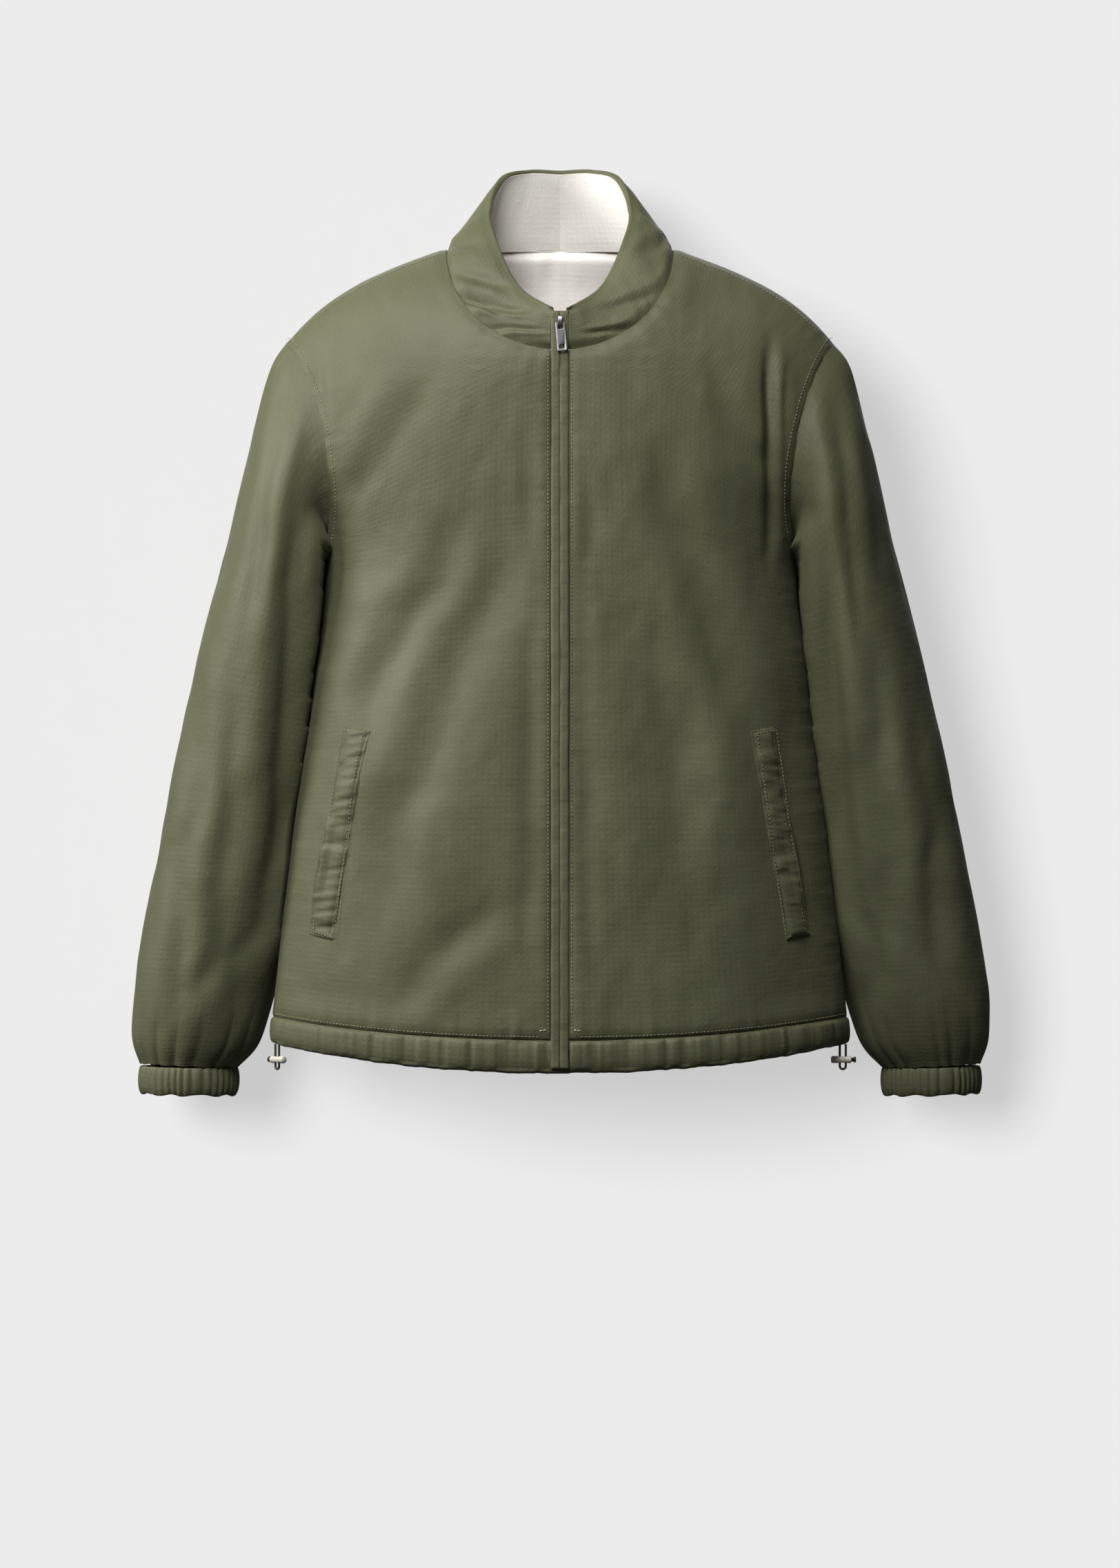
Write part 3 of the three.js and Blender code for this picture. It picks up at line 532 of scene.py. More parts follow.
def frontFlat(t, v):
    inside, outside = frontInnerEdge(v), outerEdge(v)
    s = np.sin(t * math.pi / 2)
    x = mix(inside[..., 0], outside[..., 0], s)
    rise = crest(x, outside[..., 0]) * eased(v, 0.72, 1)
    return x, mix(inside[..., 1], outside[..., 1], s ** (2 - v)) + rise


neckShare = 0.42  # how much of the back's top edge is neck


def backFlat(t, v):
    outside = outerEdge(v)
    s = np.sin(t * math.pi / 2)
    lowX, lowZ = outside[..., 0] * s, mix(mix(hemSeam(0), -60, v), outside[..., 1], s ** (2 - v))
    turn = np.clip(t / neckShare, 0, 1) * math.pi / 2
    out = np.clip((t - neckShare) / (1 - neckShare), 0, 1)
    topX = mix(neckHalf * np.sin(turn), outside[..., 0], out)
    slope = mix(-neckSink, outside[..., 1], out) + crest(topX, outside[..., 0])
    topZ = np.where(t < neckShare, neckSink * (np.cos(turn) ** 2 - 1), slope)
    share = eased(v, 0.55, 1)
    return mix(lowX, topX, share), mix(lowZ, topZ, share)


# Folds: from x, z to x, z, valley depth, width, and the ridge beside it (its sign picks the side).
frontFolds = [
    (-204, -108, -203, -292, 7.0, 6.0, -3.0),
    (-88, -236, -160, -420, 5.5, 17.0, -2.5),
    (-42, -259, -150, -560, 5.0, 21.0, -2.5),
    (-120, -120, -178, -230, 3.0, 15.0, -1.5),
    (-60, -560, -150, -640, 2.5, 14.0, 1.5),
    (-19, -150, -22, -640, 2.6, 10.0, 0.0),
    (173, -100, 175, -262, 6.5, 5.5, 2.5),
    (189, -120, 190, -250, 3.0, 4.0, 1.0),
    (19, -201, 21, -640, 3.6, 10.0, 0.0),
    (86, -201, 148, -410, 5.0, 17.0, 2.5),
    (60, -300, 120, -560, 3.5, 20.0, 2.0),
    (130, -110, 165, -200, 2.5, 12.0, 1.0),
]
backFolds = [
    (-190, -120, -188, -300, 6.0, 6.0, -2.0),
    (190, -120, 188, -300, 6.0, 6.0, 2.0),
    (-60, -80, -150, -330, 4.5, 18.0, -2.0),
    (70, -90, 140, -350, 4.5, 18.0, 2.0),
    (-20, -250, -60, -600, 4.0, 22.0, 2.0),
    (30, -330, 70, -620, 4.0, 20.0, -2.0),
]


def foldHeight(x, z, folds):
    height = np.zeros(np.shape(x))
    for k, (x0, z0, x1, z1, depth, width, crest) in enumerate(folds):
        length = math.hypot(x1 - x0, z1 - z0)
        along = ((x - x0) * (x1 - x0) + (z - z0) * (z1 - z0)) / length**2
        side = ((x - x0) * (z1 - z0) - (z - z0) * (x1 - x0)) / length
        side = side + width * 0.7 * softNoise(along * length / 55, 0 * along, 3 + k)
        fade = eased(along, -0.2, 0.2) * (1 - eased(along, 0.75, 1.15))
        valley = -depth * np.exp(-((side / width) ** 2))
        lift = abs(crest) * np.exp(-(((side + math.copysign(1.9, crest) * width) / width) ** 2))
        height = height + fade * (valley + (lift if crest else 0))
    return height


def clothNoise(x, z, seed):
    slow = softNoise(x / 70, z / 150, seed) * 2.4
    mid = softNoise(x / 31 + z / 160, z / 75, seed + 1) * 1.25
    quick = softNoise(x / 13, z / 24, seed + 2) * 0.42
    return slow + mid + quick


def seamLines(front):
    v = np.linspace(0, 1, 90)
    outer = outerEdge(v)
    side, arm = outer[v <= 0.6], outer[v > 0.6]
    lines = {"side": side, "armhole": np.vstack([side[-1:], arm])}
    if front:
        lines["neck"] = neckFront(np.linspace(neckStart, math.pi / 2, 30))
        lines["zip"] = np.array([[zipHalf, hemSeam(0)], [zipHalf, -bodySizes["neckDrop"]]])
    else:
        turn = np.linspace(0, math.pi / 2, 30)
        lines["neck"] = np.stack([neckHalf * np.sin(turn), neckSink * (np.cos(turn) ** 2 - 1)], -1)
    top = np.linspace(neckHalf, shoulderHalf, 20)
    lines["shoulder"] = np.stack([top, ridge(top)], -1)
    share = np.linspace(0, 1, 40)
    s = np.sin(share * math.pi / 2)
    across = mix(zipHalf if front else 0, halfWidth(hemSeam(1)), s)
    lines["hem"] = np.stack([across, mix(hemSeam(0), hemSeam(1), s * s)], -1)
    return lines


seams = {True: seamLines(True), False: seamLines(False)}
# How far each seam pulls the cloth in, how far that reaches, and how strongly it puckers.
seamPull = {
    "side": (1.6, 6.0, 0.5),
    "armhole": (0.9, 2.2, 0.6),
    "neck": (3.0, 6.0, 0.7),
    "zip": (1.8, 3.5, 0.35),
    "shoulder": (1.8, 5.0, 0.5),
    "hem": (2.2, 5.0, 1.3),
}


def shellHeight(x, z, front):
    folds = frontFolds if front else backFolds
    wide = np.abs(x)
    calm = np.ones(np.shape(x))
    height = np.zeros(np.shape(x))
    ripples = np.zeros(np.shape(x))
    seed = 20 if front else 40
    for k, (name, line) in enumerate(seams[front].items()):
        away, along = nearLine(wide, z, line)
        pull, reach, pucker = seamPull[name]
        height = np.minimum(height, -pull * np.exp(-((away / reach) ** 1.6)))
        ripple = softNoise(along / 6.5, np.sign(x) * 3 + 0 * away, seed + k)
        ripples = ripples + pucker * ripple * np.exp(-away / 13) * eased(away, 0, 3)
        calm = np.minimum(calm, eased(away, 0, 30) * 0.75 + 0.25)
    puff = foldHeight(x, z, folds) + clothNoise(x, z, seed)
    return height + ripples + 1.2 + puff * calm


def panelGrid(front, columns, rows, signed):
    v = np.linspace(0, 1, rows)[:, None] * np.ones((1, columns))
    if front:
        t = np.linspace(0, 1, columns)[None] * np.ones((rows, 1))
        x, z = frontFlat(t, v)
        return x * signed, z
    t = np.linspace(1, -1, columns)[None] * np.ones((rows, 1))
    x, z = backFlat(np.abs(t), v)
    return x * np.sign(t), z


def keepSide(points, front, gap=0.3):  # front cloth stays in front of the side seams, back cloth behind
    points[..., 1] = np.minimum(points[..., 1], -gap) if front else np.maximum(points[..., 1], gap)
    return points


panels = {}


def addPanel(name, front, sign, nodes):
    x, z = panelGrid(front, 150 if front else 260, 330, sign)
    height = shellHeight(x, z, front)
    outer = keepSide(onBody(x, z, front, height), front)
    inner = keepSide(onBody(x, z, front, np.minimum(height, 0) * 0.5 - bodySizes["padding"]), front, 0.2)
    thing = addSlab(name, outer, inner, shellCloth, "root", flip=(sign > 0) == front)
    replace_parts(thing, *nodes)
    panels[name] = thing
    return thing


for side, sign in sides.items():
    addPanel(f"{side}_front_cloth", True, sign, [f"{side}_front_shell", f"{side}_front_wadding"])
addPanel("back_cloth", False, 1, ["back_shell", "back_wadding"])
print("body panels made")


# Lining of the body

liningSizes = {"thickness": 0.6, "gather": 1.7, "gatherPitch": 15.0, "gatherReach": 70.0, "hang": 0.12}


def liningHeight(x, z, front):
    cut = liningSizes
    away, along = nearLine(np.abs(x), z, seams[front]["neck"])
    ease = 4.6 * np.exp(-((away / 12) ** 2))
    ripple = softNoise(along / cut["gatherPitch"] * 1.7, away / 90, 60)
    gather = cut["gather"] * ripple * np.exp(-away / cut["gatherReach"]) * eased(away, 0, 6)
    low = softNoise(x / 40, z / 90, 61) * 0.9 * eased(away, 0, 40)
    return -bodySizes["liningDepth"] + ease + np.minimum(gather + low, 1.2)


def addLiningPanel(name, front, sign, node):
    x, z = panelGrid(front, 90 if front else 180, 170, sign)
    if front:
        x = np.sign(x) * np.maximum(np.abs(x), 13.0)
    height = liningHeight(x, z, front)
    outer = onBody(x, z, front, height)
    inner = onBody(x, z, front, height - liningSizes["thickness"])
    away, along = nearLine(np.abs(x), z, seams[front]["neck"])
    for face in (outer, inner):
        face[..., 1] *= 1 - liningSizes["hang"] * eased(away, 0, 10) * np.exp(-away / 32)
    outer, inner = keepSide(outer, front, 0.9), keepSide(inner, front, 1.2)
    thing = addSlab(name, outer, inner, liningCloth, "root", flip=(sign > 0) == front)
    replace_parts(thing, node)
    panels[name] = thing


for side, sign in sides.items():
    addLiningPanel(f"{side}_front_lining_cloth", True, sign, f"{side}_front_lining")
addLiningPanel("back_lining_cloth", False, 1, "back_lining")
print("body lining made")

# Collar

collarSizes = {"bulge": 5.0, "rimRadius": 2.5, "turnIn": 3.0}
rimKeys = np.array(
    [[0, 52, 63], [28, 48, 63], [50, 30, 57], [60, 2, 28], [54, -30, 0], [34, -60, -42], [7.4, -85, -62]],
    float,
)


def throughKeys(keys, t):  # centripetal curve through the keys; keys may carry extra middle axes
    keys = np.asarray(keys, float)
    count = len(keys)
    place = np.clip(np.asarray(t, float), 0, 1) * (count - 1)
    i = np.minimum(np.floor(place).astype(int), count - 2)
    w = place - i
    padded = np.concatenate([[2 * keys[0] - keys[1]], keys, [2 * keys[-1] - keys[-2]]])
    return padded, i, w


def centripetal(p0, p1, p2, p3, w):
    def gap(a, b):
        return np.maximum(np.sum((a - b) ** 2, -1, keepdims=True) ** 0.25, 1e-3)

    d0, d1, d2 = gap(p0, p1), gap(p1, p2), gap(p2, p3)
    t1 = ((p1 - p0) / d0 - (p2 - p0) / (d0 + d1) + (p2 - p1) / d1) * d1
    t2 = ((p2 - p1) / d1 - (p3 - p1) / (d1 + d2) + (p3 - p2) / d2) * d1
    w = w[..., None]
    return p1 + t1 * w + (-3 * p1 + 3 * p2 - 2 * t1 - t2) * w**2 + (2 * p1 - 2 * p2 + t1 + t2) * w**3


def rimPoint(share):
    keys, i, w = throughKeys(rimKeys, share)
    keys[0] = rimKeys[1] * [-1, 1, 1]
    return centripetal(keys[i], keys[i + 1], keys[i + 2], keys[i + 3], w)


def neckSeam(share):
    turn = np.minimum(share, 0.5) * math.pi
    low = neckSink * (np.cos(turn) ** 2 - 1)
    back = onBody(neckHalf * np.sin(turn), low, False, np.zeros(share.shape))
    back[..., 1] = np.maximum(back[..., 1], 0)
    spot = neckFront(mix(math.pi / 2, neckStart, np.clip((share - 0.5) * 2, 0, 1)))
    front = onBody(spot[..., 0], spot[..., 1], True, np.zeros(share.shape))
    return np.where((share < 0.5)[..., None], back, front)


def collarBase(u, w):
    share = np.abs(u)
    low, high = neckSeam(share), rimPoint(share)
    out = unit(np.stack([low[..., 0], low[..., 1] * (1 - share), 0 * share], -1))
    arch = np.sin(math.pi * np.clip(w, 0, 1)) * np.sqrt(np.maximum(np.sin(math.pi * (1 - share**4)), 0))
    point = mix(low, high, w[..., None]) + out * (collarSizes["bulge"] * arch)[..., None]
    point[..., 0] *= np.where(u > 0, -1, 1)
    return point


collarFolds = [  # u, w to u, w, depth, width in mm
    (0.70, 0.05, 0.92, 0.8, 3.6, 3.6),
    (0.60, 0.1, 0.80, 0.9, 3.2, 3.8),
    (0.5, 0.1, 0.64, 0.85, 2.8, 4.4),
    (0.80, 0.02, 0.97, 0.5, 2.8, 3.0),
    (0.66, 0.02, 0.84, 0.45, 2.2, 3.0),
    (-0.68, 0.1, -0.88, 0.7, 2.8, 4.4),
    (-0.5, 0.15, -0.66, 0.8, 2.2, 5.0),
    (-0.8, 0.02, -0.96, 0.4, 2.4, 3.4),
]


def addCollar():
    cut = collarSizes
    columns, rows = 420, 46
    u = np.linspace(-0.995, 0.995, columns)[None] * np.ones((rows, 1))
    w = (np.linspace(0, 1, rows) ** 1.15)[:, None] * np.ones((1, columns))
    base = collarBase(u, w)
    normal = gridNormals(base)
    if np.dot(normal[rows // 2, columns // 2], [0, 1, 0]) < 0:
        normal = -normal
    around = np.concatenate([[0], np.cumsum(np.linalg.norm(np.diff(base[rows // 2], axis=0), axis=1))])
    s = around[None] * np.ones((rows, 1))
    high = w * 60
    height = -2.6 * np.exp(-((high / 5) ** 1.5)) + 1.2 * eased(high, 3, 14)
    height += softNoise(s / 26, high / 22, 70) * 0.9 * eased(high, 0, 20)
    height += softNoise(s / 7, high / 60, 71) * 0.6 * np.exp(-high / 16) * eased(high, 0, 4)
    for k, (u0, w0, u1, w1, depth, width) in enumerate(collarFolds):
        span = np.array([(u1 - u0) * 210, (w1 - w0) * 60])
        length = np.linalg.norm(span)
        a, b = (u - u0) * 210, (w - w0) * 60
        along = (a * span[0] + b * span[1]) / length**2
        across = (a * span[1] - b * span[0]) / length + 2.5 * softNoise(along * 2.2, 0 * a, 80 + k)
        fade = eased(along, -0.2, 0.25) * (1 - eased(along, 0.7, 1.1))
        height -= depth * np.exp(-((across / width) ** 2)) * fade
        height += 0.5 * depth * np.exp(-(((across - 1.8 * width) / width) ** 2)) * fade
    endFade = 1 - eased(np.abs(u), 0.955, 0.995)
    height = height * (1 - eased(w, 0.82, 1)) - 1.0 * (1 - endFade) * (1 - eased(w, 0.9, 1))
    outer = base + normal * height[..., None]
    # The shell rolls over the rim and ends just inside it.
    up = unit(base[-1] - base[-3])
    edge = base[-1]
    side = normal[-1]
    radius = cut["rimRadius"]
    wave = 1 + 0.12 * softNoise(around / 20, 0 * around, 75)[:, None]
    roll = []
    for angle in np.linspace(0, math.pi, 9)[1:]:
        roll.append(edge + side * radius * (math.cos(angle) - 1) + up * radius * math.sin(angle) * wave * 0.8)
    for down in (1.2, cut["turnIn"]):
        roll.append(edge - side * 2 * radius - up * down)
    outer = np.concatenate([outer, np.array(roll)])
    outer[: len(base), :, 0] -= np.sign(outer[: len(base), :, 0]) * 3.0 * eased(np.abs(u), 0.965, 0.995)
    inner = base - normal * (bodySizes["padding"] - 0.4)
    tail = np.array([inner[-1]] * len(roll))
    inner = np.concatenate([inner, tail])
    shell = addSlab("collar_cloth", outer, inner, shellCloth, "root", flip=True)
    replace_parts(shell, "collar_shell", "collar_wadding")
    crease = softNoise(s / 15, high / 40, 76) * 0.7 * (1 - eased(w, 0.6, 1)) * eased(w, 0, 0.1)
    face = base - normal * (4.55 - np.minimum(crease, 0.3))[..., None]
    face[-1] = edge - side * 4.8 - up * 1.0
    fall = (1 - eased(w, 0, 0.12))[..., None]
    face = face - fall * (np.array([0, 0, 3.0]) - normal * 1.2)
    face = face[:, np.abs(u[0]) < 0.968]
    normal = normal[:, np.abs(u[0]) < 0.968]
    lining = addSlab("collar_lining_cloth", face, face - normal * 0.6, liningCloth, "root", flip=True)
    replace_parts(lining, "collar_lining")
    panels["collar_cloth"], panels["collar_lining_cloth"] = shell, lining


addCollar()
print("collar made")

# Sleeves

sleeveSizes = {"length": 639.0, "tuck": 13.0, "liningStart": 6}
# Share of the length at the inner and outer side, gap to the body, width, middle and depth of each ring.
sleeveRings = [
    (0.292, 0.124, -1, 60, 9, 119.7),
    (0.345, 0.268, -3, 82, 20, 138.7),
    (0.468, 0.443, -2, 101, 32, 146),
    (0.593, 0.576, 0, 109, 38, 143.1),
    (0.718, 0.71, -1, 116, 40, 134.3),
    (0.832, 0.825, 0, 119, 40, 119.7),
    (0.88, 0.88, 4, 115, 40, 108),
    (0.922, 0.917, 12, 103, 40, 90.5),
    (0.95, 0.945, 27, 80, 40, 72),
]


def sleeveRing(key, turn):
    innerShare, outerShare, gap, width, middle, depth = key
    zInner = -shoulderDrop - sleeveSizes["length"] * innerShare
    zOuter = -shoulderDrop - sleeveSizes["length"] * outerShare
    across = (1 + np.cos(turn)) / 2
    x = halfWidth(zInner) + gap + width * across
    return np.stack([x, middle - depth / 2 * np.sin(turn), mix(zInner, zOuter, across)], -1)


def armholeRing(turn, gap):
    front = turn <= math.pi
    angle = np.where(front, math.pi / 2 - turn, turn - 1.5 * math.pi)
    spot = armholePoint(angle)
    ahead = onBody(spot[..., 0], spot[..., 1], True, np.zeros(turn.shape))
    behind = onBody(spot[..., 0], spot[..., 1], False, np.zeros(turn.shape))
    point = np.where(front[..., None], ahead, behind)
    point[..., 0] += gap
    point[..., 2] -= (max(gap - 2.5, 0) * 1.2 + min(gap, 0) * 0.65) * (1 + np.cos(turn))
    return point


def sleeveBase(turn, v):
    rings = [armholeRing(turn, -5.0), armholeRing(turn, 9.0)] + [sleeveRing(key, turn) for key in sleeveRings]
    keys, i, w = throughKeys(np.array(rings), v)
    columns = np.arange(turn.size)[None] * np.ones((v.size, 1), int)
    rows = i[:, None] * np.ones((1, turn.size), int)
    share = w[:, None] * np.ones((1, turn.size))
    return centripetal(
        keys[rows, columns], keys[rows + 1, columns], keys[rows + 2, columns], keys[rows + 3, columns], share
    )


# Folds on the sleeve, for one sleeve with its outer side at +x, as on the body but on front and back alike.
sleeveFolds = {
    "right": [
        (232, -150, 262, -330, 4.0, 9.0, -3.0),
        (246, -100, 300, -330, 2.5, 12.0, 3.5),
        (222, -250, 240, -520, 6.0, 9.0, -3.0),
        (262, -360, 300, -640, 5.0, 14.0, -3.0),
        (300, -420, 330, -660, 4.0, 10.0, 2.5),
        (236, -470, 268, -660, 5.0, 12.0, -2.0),
    ],
    "left": [
        (228, -140, 250, -330, 4.0, 9.0, -3.0),
        (250, -110, 296, -340, 3.0, 12.0, 3.0),
        (224, -260, 238, -500, 6.0, 9.0, -3.0),
        (255, -330, 290, -600, 5.0, 15.0, -3.0),
        (296, -380, 328, -640, 4.0, 11.0, 2.5),
        (240, -460, 262, -650, 5.0, 10.0, -2.0),
    ],
}


def sleeveHeight(side, base, turn, v):
    x, z = base[..., 0], base[..., 2]
    turns = turn[None] * np.ones((v.size, 1))
    facing = np.abs(np.sin(turns)) ** 0.5
    ahead = np.sin(turns) > 0
    seed = 100 if side == "right" else 120
    folds = foldHeight(x + np.where(ahead, 0, 14), z, sleeveFolds[side]) * facing
    around = turns * 52
    # Noise is mixed from two halves so that it meets where the cloth closes on itself.
    ring = 2 * math.pi * 52
    share = turns / (2 * math.pi)
    noise = mix(clothNoise(around, z, seed), clothNoise(around - ring, z, seed), share)
    low = -shoulderDrop - z
    wrist = eased(low, 540, 600)
    drift = 1.4 * softNoise(np.cos(turns) * 2, np.sin(turns) * 2, seed)
    gather = (np.abs(np.sin(turns * 9 + drift)) ** 0.7) * 2.4 - 1.2
    head = v[:, None] * np.ones((1, turn.size))
    seam = -1.3 * np.exp(-((head / 0.012) ** 1.5))
    ripple = softNoise(turns * 9, 0 * turns, seed + 5) * 0.9 * np.exp(-head / 0.06) * eased(head, 0, 0.02)
    calm = eased(head, 0.01, 0.12)
    top = np.maximum(np.cos(turns), 0) ** 2 * (1 - eased(head, 0.02, 0.25)) * 0.5
    return seam + ripple + 0.6 - top + (folds + noise * 1.15) * calm * (1 - 0.75 * wrist) + gather * wrist


def tuckBehind(points):  # the sleeve's inner side lies behind the body's side, as worn cloth does
    inner = 1 - eased(points[..., 0] - halfWidth(points[..., 2]), -2, 42)
    below = eased(-points[..., 2], 222, 262) * (1 - eased(-points[..., 2], 560, 640))
    below = below * eased(np.arange(len(points))[:, None], 2, 14)
    points[..., 0] -= sleeveSizes["tuck"] * inner * below
    back = bodyDepth(points[..., 0], points[..., 2], False) + 3.5
    behind = (np.abs(points[..., 0]) < halfWidth(points[..., 2]) + 1) & (points[..., 2] < -250)
    lift = np.where(behind, np.maximum(back, points[..., 1]), points[..., 1])
    points[..., 1] = mix(points[..., 1], lift, eased(-points[..., 2], 250, 285))
    return points


def bendAtShoulder(thing):
    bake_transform(thing)


def addSleeve(side, sign):
    turn = np.linspace(0, 2 * math.pi, 181)[:-1]
    v = np.linspace(0, 1, 340)
    base = tuckBehind(sleeveBase(turn, v))
    normal = gridNormals(base, True)
    if np.mean(normal[100, 0, 0]) < 0:
        normal = -normal
    height = sleeveHeight(side, base, turn, v)
    outer = base + normal * height[..., None]
    outer[:, :, 0] = np.maximum(outer[:, :, 0], base[:, :, 0] - 30)
    inner = outer - normal * 3.2
    flat = np.array([sign, 1, 1])
    tube = {"closed": True, "flip": sign < 0}
    cloth = addSlab(f"{side}_sleeve_cloth", outer * flat, inner * flat, shellCloth, **tube)
    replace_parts(cloth, f"{side}_sleeve_shell", f"{side}_sleeve_wadding")
    bendAtShoulder(cloth)
    start = sleeveSizes["liningStart"]
    thin = outer[start::3, ::2] - normal[start::3, ::2] * 5.2
    deep = thin - normal[start::3, ::2] * 0.6
    lining = addSlab(f"{side}_sleeve_lining_cloth", thin * flat, deep * flat, liningCloth, **tube)
    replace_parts(lining, f"{side}_sleeve_lining")
    bendAtShoulder(lining)
    panels[cloth.name], panels[lining.name] = cloth, lining


cuffSizes = {"height": 23.0, "top": 1.5, "gathers": 18, "gatherDepth": 2.2, "wall": 4.2}


def addCuff(side, sign):
    cut = cuffSizes
    last = sleeveRings[-1]
    middle = (sleeveRing(last, np.array(0.0)) + sleeveRing(last, np.array(math.pi))) / 2
    turn = np.linspace(0, 2 * math.pi, 241)[:-1]
    down = unit(np.array([0.02, 0, -1.0]))
    outwards = unit(np.array([1.0, 0, 0.02]))
    seed = 140 if side == "right" else 150
    phase = 1.2 * softNoise(np.cos(turn) * 2, np.sin(turn) * 2, seed)
    pleat = np.abs(np.sin(turn * cut["gathers"] + phase * 1.6)) ** 0.6
    section = []  # outwards, down, share of the gathers
    for share in np.linspace(0, 1, 16):
        out = 0.6 + 1.8 * math.sin(math.pi * share) ** 0.6
        section.append((out, cut["top"] + (cut["height"] - 1.5) * share, 1))
    for angle in np.linspace(0, math.pi, 7)[1:-1]:
        radius = cut["wall"] / 2
        drop = cut["top"] + cut["height"] - 1.5 + 1.8 * math.sin(angle)
        section.append((0.6 - radius + radius * math.cos(angle), drop, 0.8))
    for share in np.linspace(1, 0, 10):
        section.append((0.6 - cut["wall"], cut["top"] + (cut["height"] - 1.5) * share, 0.6))
    rows = []
    for out, drop, share in section:
        radius = out + (pleat - 0.75) * cut["gatherDepth"] * share
        row = middle + outwards * ((40 + radius) * np.cos(turn))[:, None] + down * drop
        row[:, 1] += (36 + radius) * np.sin(turn)
        row[:, 2] += 0.8 * np.sin(turn * 9 + phase) * (drop / 24)
        rows.append(row * np.array([sign, 1, 1]))
    outer = np.array(rows)
    inside = outer.copy()
    centre = outer.mean(axis=1, keepdims=True)
    inside += unit(centre - outer) * 0.5 * np.where(np.arange(len(rows)) < 18, 1, -1)[:, None, None]
    tube = {"body": f"{side}_sleeve", "closed": True, "flip": sign < 0}
    cuff = addSlab(f"{side}_cuff_cloth", outer, inside, shellCloth, **tube)
    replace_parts(cuff, f"{side}_cuff")
    band = []
    for out, drop in [(-1.6, 5.0), (-1.6, 21.0), (-2.4, 21.0), (-2.4, 5.0)]:
        radius = out + (pleat - 0.75) * 0.8
        row = middle + outwards * ((40 + radius) * np.cos(turn))[:, None] + down * drop
        row[:, 1] += (36 + radius) * np.sin(turn)
        band.append(row * np.array([sign, 1, 1]))
    band = np.array(band)
    elastic = addSlab(f"{side}_cuff_elastic_band", band[[0, 1]], band[[3, 2]], elasticCloth, **tube)
    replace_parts(elastic, f"{side}_cuff_elastic")
    panels[cuff.name] = cuff


for side, sign in sides.items():
    addSleeve(side, sign)
    addCuff(side, sign)
print("sleeves and cuffs made")

# Hem channel

hemSizes = {"band": 24.0, "puff": 1.1, "gather": 1.9, "thickness": 9.0}


def hemPlace(front, u, w):
    start = zipHalf if front else 0.0
    low = hemSeam(1) - hemSizes["band"] * w * 0.8
    s = np.sin(np.abs(u) * math.pi / 2)
    x = mix(start, halfWidth(low), s)
    z = mix(hemSeam(0) - hemSizes["band"] * w, low, s * s)
    return x * np.where(u < 0, -1, 1), z


def addHem(name, front, sign, nodes):
    cut = hemSizes
    columns = 300 if front else 520
    u = np.linspace(0, 1, columns) * sign if front else np.linspace(1, -1, columns)
    rows = []
    along = np.cumsum(np.concatenate([[0], np.abs(np.diff(hemPlace(front, u, np.array(0.5))[0]))]))
    seed = 160 if front else 170
    ripple = softNoise(along / 8.0, 0 * along + sign * 4, seed)
    ripple = ripple + 0.6 * softNoise(along / 3.9, 0 * along, seed + 1)
    for share in np.linspace(0, 1, 18):
        x, z = hemPlace(front, u, 0 * u + share)
        puff = cut["puff"] * math.sin(math.pi * min(share * 1.02, 1)) ** 0.55
        pull = -2.2 * math.exp(-((share * 24 / 2.2) ** 1.5)) - 1.4 * share**4
        side = 1 - eased(np.abs(u), 0.8, 1) * 0.8
        wave = cut["gather"] * ripple * (0.35 + 0.65 * math.exp(-share * 1.6)) * eased(share, 0, 0.12)
        rows.append(keepSide(onBody(x, z, front, (puff + wave) * side + pull + 0.6), front))
    half = cut["thickness"] / 2
    x, z = hemPlace(front, u, 0 * u + 1)
    for angle in np.linspace(0, math.pi, 9)[1:-1]:
        row = onBody(x, z, front, -half - 0.8 + half * math.cos(angle) + 0 * u)
        row[:, 2] -= half * 0.75 * math.sin(angle) - 0.5 * ripple * math.sin(angle)
        rows.append(keepSide(row, front))
    for share in np.linspace(1, 0, 8):
        x, z = hemPlace(front, u, 0 * u + share)
        rows.append(keepSide(onBody(x, z, front, 0 * u - cut["thickness"] - 0.4 + 0.3 * ripple), front, 0.9))
    outer = np.array(rows)
    normal = gridNormals(outer)
    outward = np.dot(normal[8, columns // 2], [0, -1 if front else 1, 0])
    inner = outer + normal * (0.5 if outward < 0 else -0.5)
    if front:
        inner[:, 0], inner[:, -1] = outer[:, 0], outer[:, -1]
    thing = addSlab(name, outer, keepSide(inner, front, 0.2), shellCloth, "root", flip=(sign < 0) == front)
    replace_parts(thing, *nodes)
    panels[name] = thing


for side, sign in sides.items():
    addHem(f"{side}_hem_cloth", True, sign, [f"{side}_hem_outer", f"{side}_hem_facing"])
addHem("back_hem_cloth", False, 1, ["back_hem_outer", "back_hem_facing"])


def addDrawcord(name, front, span, sign):
    u = np.linspace(*span, 40)
    x, z = hemPlace(front, u, 0 * u + 0.55)
    path = onBody(x * sign, z, front, 0 * u - 4.9)
    curve = bpy.data.curves.new(name, "CURVE")
    curve.dimensions = "3D"
    curve.bevel_depth = mm
    line = curve.splines.new("POLY")
    line.points.add(len(path) - 1)
    for spot, place in zip(line.points, path):
        spot.co = (*(place * mm), 1)
    curve.materials.append(cordCloth)
    thing = bpy.data.objects.new(name, curve)
    scene.collection.objects.link(thing)
    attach(thing, "root")
    return thing


for side, sign in sides.items():
    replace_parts(addDrawcord(f"{side}_front_hem_cord", True, (0.075, 0.76), sign), f"{side}_front_drawcord")
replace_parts(addDrawcord("back_hem_cord", False, (-0.96, 0.96), 1), "back_drawcord")
print("hem made")

# Pockets

